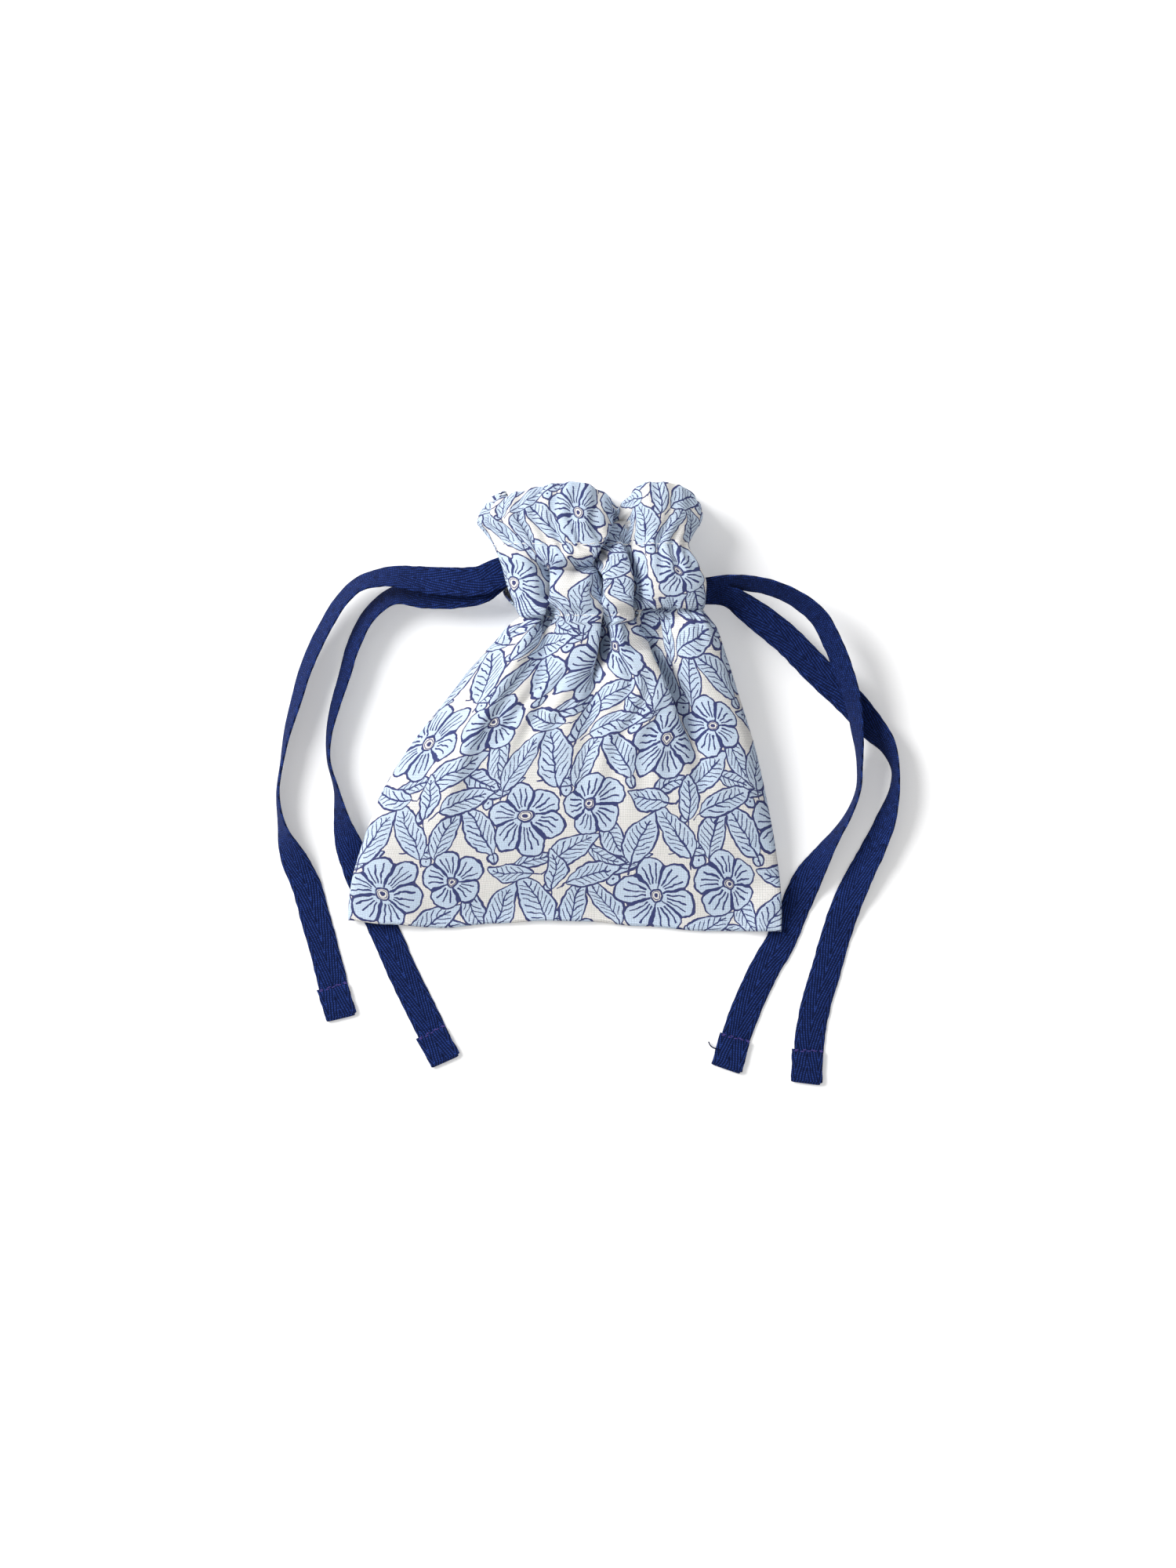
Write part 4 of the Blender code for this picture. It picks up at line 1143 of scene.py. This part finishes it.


# The tape's weave, lengths in millimetres; its colour goes from low in the grooves to high on the raised crowns:
# painted shade and painted highlight
herringbone = {
    "streak": 0.88,
    "slant": 0.20,
    "selvedge": 3.6,
    "bead": 0.70,
    "low": (0.0022, 0.0047, 0.0235),
    "high": (0.0205, 0.0490, 0.2300),
    "bump": 0.9,
    "bumpDepth": 0.00030,  # in metres
}


def herringboneGroup():
    # Slanted streaks that meet in the middle and turn back at the selvedges, each a row of beads; Shade is painted
    # light, dark in the grooves and bright on the bead crowns, with a random strength per bead for painted glints
    tree, got, finish = shaderGroup(
        "Herringbone", (("Vector", "Vector", None),), (("Height", "Float"), ("Shade", "Float")))
    run, across = splitVector(tree, got["Vector"])
    run, across = run / mm, across / mm
    place = joinVector(tree, run, across)
    fromMiddle = (across + noiseWire(tree, place, 0.5) * 0.10).size()
    turned = (fromMiddle > herringbone["selvedge"]) * -2 + 1
    phase = ((fromMiddle - herringbone["selvedge"]) * turned + run * herringbone["slant"]) / herringbone["streak"]
    streak = phase.math("FLOOR")
    ridge = (phase.math("FRACT") * math.pi).math("SINE")
    beads = run / herringbone["bead"] + streak * 0.5 + fromMiddle * 0.35
    bead = (beads.math("FRACT") * math.pi).math("SINE")
    each = noiseWire(tree, joinVector(tree, beads.math("FLOOR") * 5.3, streak * 7.1), 1.0)
    height = ridge * (bead * 0.55 + 0.45)
    finish(Height=height, Shade=(height.math("POWER", 1.4) * (each * 0.9 + 0.85)).least(1).most(0))


def makeTapeMaterial(name):
    material, tree, shader = principled(name, 0.78, specular=0.07, sheen=0)
    weave = useGroup(tree, bpy.data.node_groups["Herringbone"], Vector=flatPlace(tree))
    # The tape's colour from its weave height: painted shade in the grooves, painted highlight and glints on the
    # crowns
    colour = mixColour(tree, weave["Shade"], herringbone["low"], herringbone["high"])
    tree.links.new(colour.socket, shader.inputs["Base Color"])
    addBump(tree, shader, weave["Height"], herringbone["bump"], herringbone["bumpDepth"])
    return material


def makeThread(name, colour):
    material, tree, shader = principled(name, 0.7)
    shader.inputs["Base Color"].default_value = (*colour, 1)
    return material


# Sewing: stitches are instances along guide lines
stitch = {
    "length": 0.0021,
    "gap": 0.0006,
    "radius": 0.00015,
    "lift": 0.00032,
    "barLength": 0.0013,
    "barGap": 0.0008,
    "barRadius": 0.00017,
    "barPlaces": (0.0096, 0.0101),
    "barEnds": ((-0.43, 0.42), (-0.40, 0.40)),  # shares of the tape's width
    "barLift": 0.00006,
    "barSlant": 0.06,
    "barWander": 0.00016,
    "barPoints": 9,
    "seamEnds": 3,  # points of a casing row left bare at each seam
    "beadSegments": 10,
    "beadRings": 8,
    "thread": (0.90, 0.885, 0.85),
    "barThread": (0.075, 0.055, 0.230),
}


def stitchTree():
    # Lays a rounded stitch at even steps along every line of a mesh
    tree = bpy.data.node_groups.new("Stitches", "GeometryNodeTree")
    for label, kind in (("Geometry", "Geometry"), ("Step", "Float"), ("Half Length", "Float"),
                        ("Radius", "Float"), ("Thread", "Material")):
        tree.interface.new_socket(label, in_out="INPUT", socket_type="NodeSocket" + kind)
    tree.interface.new_socket("Geometry", in_out="OUTPUT", socket_type="NodeSocketGeometry")
    kinds = {
        "source": "NodeGroupInput", "sink": "NodeGroupOutput", "line": "GeometryNodeMeshToCurve",
        "steps": "GeometryNodeResampleCurve", "bead": "GeometryNodeMeshUVSphere",
        "way": "GeometryNodeInputTangent", "turn": "FunctionNodeAlignRotationToVector",
        "size": "ShaderNodeCombineXYZ", "place": "GeometryNodeInstanceOnPoints",
        "plain": "GeometryNodeRealizeInstances", "finish": "GeometryNodeSetMaterial",
        "soft": "GeometryNodeSetShadeSmooth",
    }
    node = {label: tree.nodes.new(kind) for label, kind in kinds.items()}
    node["steps"].mode = "LENGTH"
    node["turn"].axis = "X"
    for label, value in (("Segments", stitch["beadSegments"]), ("Rings", stitch["beadRings"]), ("Radius", 1)):
        node["bead"].inputs[label].default_value = value
    for start, output, end, entry in (
            ("source", "Geometry", "line", "Mesh"), ("line", "Curve", "steps", "Curve"),
            ("source", "Step", "steps", "Length"), ("steps", "Curve", "place", "Points"),
            ("bead", "Mesh", "place", "Instance"), ("way", "Tangent", "turn", "Vector"),
            ("turn", "Rotation", "place", "Rotation"), ("source", "Half Length", "size", "X"),
            ("source", "Radius", "size", "Y"), ("source", "Radius", "size", "Z"),
            ("size", "Vector", "place", "Scale"), ("place", "Instances", "plain", "Geometry"),
            ("plain", "Geometry", "soft", "Geometry"), ("soft", "Geometry", "finish", "Geometry"),
            ("source", "Thread", "finish", "Material"), ("finish", "Geometry", "sink", "Geometry")):
        tree.links.new(node[start].outputs[output], node[end].inputs[entry])


def stitchLines(name, lines, step, halfLength, radius, thread):
    # A piece of stitches along guide lines, each a list of points
    vertices, edges = [], []
    for line in lines:
        first = len(vertices)
        vertices += [tuple(point) for point in line]
        edges += [(first + k, first + k + 1) for k in range(len(line) - 1)]
    mesh = bpy.data.meshes.new(name)
    mesh.from_pydata(vertices, edges, [])
    made = linked(name, mesh)
    tree = bpy.data.node_groups["Stitches"]
    sewing = made.modifiers.new("stitches", "NODES")
    sewing.node_group = tree
    wanted = {"Step": step, "Half Length": halfLength, "Radius": radius, "Thread": thread}
    for socket in tree.interface.items_tree:
        if socket.in_out == "INPUT" and socket.name in wanted:
            sewing[socket.identifier] = wanted[socket.name]
    makePlain(made)
    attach(made, "root")


def casingLines(outer, at, front):
    # Lines just off the cloth along the two casing rows
    raised = outer + gridNormals(outer) * (stitch["lift"] if front else -stitch["lift"])
    rows = (int(np.argmin(np.abs(at - place))) for place in (1.0, 2.0))
    return [raised[row][stitch["seamEnds"]:-stitch["seamEnds"]] for row in rows]


def hemLines(strand):
    # Short rows of bar stitches across the folded end of a tape
    centre, tangent, sides, faces = strand
    length = runLength(centre)
    lines = []
    for k, (back, ends) in enumerate(zip(stitch["barPlaces"], stitch["barEnds"])):
        at = int(np.argmin(np.abs(length - (length[-1] - back))))
        offset = (length[-1] - back) - length[at]
        high = tape["hemLift"] + tape["thickness"] / 2 + stitch["barLift"]
        middle = centre[at] + upward(faces[at]) * high + tangent[at] * offset
        reach = np.linspace(*ends, stitch["barPoints"]) * tape["width"]
        wander = stitch["barWander"] * np.sin(np.arange(stitch["barPoints"]) * 2.4 + k) + reach * stitch["barSlant"]
        lines.append(middle + sides[at] * reach[:, None] + tangent[at] * wander[:, None])
    return lines


# The end of the left seam's overlocked allowance, which stands out of the mouth's corner
allowance = {
    "middle": (-0.0196, 0.0655, 0.0150),
    "width": 0.0046,
    "length": 0.0080,
    "thickness": 0.0009,
    "turn": 28,
    "tilt": -24,
    "columns": 10,
    "rows": 16,
    "ripple": 0.0006,
    "flatFrom": 0.05,  # where on the printed cloth it is cut
    "loopStep": 0.00062,
    "loopStitch": (0.0006, 0.00042, 0.00017),  # step, half length and radius
    "loopOff": 0.0001,
    # once round the edge: share of the width, slant along it, height over the middle in half thicknesses
    "loop": ((0.10, 0.03, 1), (0.30, 0.01, 1.1), (0.50, 0, 1), (0.54, -0.005, 0), (0.50, -0.01, -1),
             (0.20, -0.03, -1.1)),
    "inkThread": (0.020, 0.022, 0.050),
}
looseThread = {
    "points": ((0.0510, -0.1106, 0.0016), (0.0490, -0.1102, 0.0022), (0.0474, -0.1094, 0.0016),
               (0.0466, -0.1080, 0.0009)),
    "radius": 0.00022,
}


def makeAllowance(cloth, threads):
    # A double ply of cloth with overlock loops round its cut edge
    across, along = allowance["width"], allowance["length"]
    turn, tilt = math.radians(allowance["turn"]), math.radians(allowance["tilt"])

    def placed(u, v, w):
        x, y, z = u * across, v * along, w + allowance["ripple"] * math.sin(v * 5 + u * 2)
        y, z = y * math.cos(tilt) - z * math.sin(tilt), y * math.sin(tilt) + z * math.cos(tilt)
        x, y = x * math.cos(turn) - y * math.sin(turn), x * math.sin(turn) + y * math.cos(turn)
        return np.array((x, y, z)) + allowance["middle"]
    points = np.array([[placed(u, v, 0) for u in np.linspace(-0.5, 0.5, allowance["columns"])]
                       for v in np.linspace(-0.5, 0.5, allowance["rows"])])
    start = allowance["flatFrom"]
    flatSize = (np.linspace(0, across, allowance["columns"]), np.linspace(start, start + along, allowance["rows"]))
    piece = gridObject("seamAllowance", points, allowance["thickness"], (cloth,), flatSize)
    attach(piece, "root")
    half = allowance["thickness"] / 2 + allowance["loopOff"]
    count = int(along / allowance["loopStep"])
    for k, thread in enumerate(threads):
        loops = [[placed(u, n / count - 0.49 + slant, high * half) for u, slant, high in allowance["loop"]]
                 for n in range(k, count, len(threads))]
        stitchLines(f"overlock{k + 1}", loops, *allowance["loopStitch"], thread)


def makeLooseThread(material):
    line = bpy.data.curves.new("looseThread", "CURVE")
    line.dimensions = "3D"
    line.bevel_depth = looseThread["radius"]
    line.bevel_resolution = 3
    line.use_fill_caps = True
    spline = line.splines.new("BEZIER")
    spline.bezier_points.add(len(looseThread["points"]) - 1)
    for point, place in zip(spline.bezier_points, looseThread["points"]):
        point.co = place
        point.handle_left_type = "AUTO"
        point.handle_right_type = "AUTO"
    made = linked("looseThread", line)
    line.materials.append(material)
    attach(made, "root")


printGroup()
weaveGroup()
herringboneGroup()
printedCloth = makeCloth("printedCloth", 1.0)
clothBack = makeCloth("clothBack", linen["wrongSide"])
navyTape = makeTapeMaterial("navyTape")
whiteThread = makeThread("whiteThread", stitch["thread"])
barThread = makeThread("barThread", stitch["barThread"])
inkThread = makeThread("inkThread", allowance["inkThread"])
print("materials made")

lines = []
for name, front, node in (("frontCloth", True, "front_panel"), ("backCloth", False, "back_panel")):
    outer, rowPlaces = makePanel(name, front, (printedCloth, clothBack), node)
    lines += casingLines(outer, rowPlaces, front)
stitchTree()
stitchLines("casingStitching", lines, stitch["length"] + stitch["gap"], stitch["length"] / 2, stitch["radius"],
            whiteThread)

reachShare = (tape["width"] / 2 + pouch["cloth"] + pouch["clearance"]) / pouch["casingLength"]
bars = makeDrawstring(("tapeLeftOuter", "tapeLeftInner", "tapeLeftChannel"),
                      tapeRoute(leftOuter, leftInner, -1, 1 - reachShare), navyTape, "drawstring_left", 3, -1)
bars += makeDrawstring(("tapeRightUpper", "tapeRightLower", "tapeRightChannel"),
                       tapeRoute(rightUpper, rightLower, 1, reachShare), navyTape, "drawstring_right", 21, 1)
stitchLines("hemStitching", bars, stitch["barLength"] + stitch["barGap"], stitch["barLength"] / 2,
            stitch["barRadius"], barThread)
makeAllowance(printedCloth, (whiteThread, inkThread))
makeLooseThread(navyTape)
print("sewing made")

# The photograph's view: straight down from far above, on white
view = {
    "middle": (0.0075, -0.0244),
    "height": 1.6,
    "seenHeight": 0.5089,
    "sensor": 36,
}
light = {
    "keyPlace": (-0.98, 0.52, 1.02),
    "keySize": 0.85,
    "keyPower": 26,
    "fillPlace": (0.7, -0.5, 1.3),
    "fillSize": 1.4,
    "fillPower": 1.3,
    "sky": 0.47,
    "paper": 0.95,
    "paperSize": 6,
    "paperGlow": 0.22,  # seen by the camera and in gloss, so that the paper is white where no shadow lies
}


def areaLight(name, place, size, power):
    lamp = bpy.data.lights.new(name, "AREA")
    lamp.shape = "DISK"
    lamp.size = size
    lamp.energy = power
    holder = linked(name, lamp)
    holder.location = place
    holder.rotation_mode = "QUATERNION"
    holder.rotation_quaternion = (-Vector(place)).to_track_quat("-Z", "Y")


def backdropRays(tree):
    # 1 for the rays that show the backdrop: the camera's, and those that gloss and glass send on
    ray = tree.nodes.new("ShaderNodeLightPath")
    camera, glossy, through = (Wire(tree, ray.outputs[label])
                               for label in ("Is Camera Ray", "Is Glossy Ray", "Is Transmission Ray"))
    return camera.most(glossy).most(through)


def makeStudio():
    lens = bpy.data.cameras.new("camera")
    lens.sensor_width = view["sensor"]
    lens.lens = view["sensor"] * view["height"] / view["seenHeight"]
    camera = linked("camera", lens)
    camera.location = (*view["middle"], view["height"])
    scene.camera = camera
    for lamp in ("key", "fill"):
        areaLight(lamp + "Light", light[lamp + "Place"], light[lamp + "Size"], light[lamp + "Power"])
    world = bpy.data.worlds.new("studio")
    scene.world = world
    world.use_nodes = True
    background = world.node_tree.nodes["Background"]
    level = backdropRays(world.node_tree) * (1 - light["sky"]) + light["sky"]
    setInputs(world.node_tree, background, {"Color": (1, 1, 1, 1), "Strength": level})
    bpy.ops.mesh.primitive_plane_add(size=light["paperSize"])
    floor = bpy.context.object
    floor.name = "floor"
    paper, tree, shader = principled("paper", 1.0, specular=0, sheen=0)
    setInputs(tree, shader, {"Base Color": (light["paper"],) * 3 + (1,), "Emission Color": (1, 1, 1, 1),
                             "Emission Strength": backdropRays(tree) * light["paperGlow"]})
    floor.data.materials.append(paper)
    scene.view_settings.view_transform = "Standard"
    scene.view_settings.look = "None"
    scene.render.film_transparent = False


makeStudio()
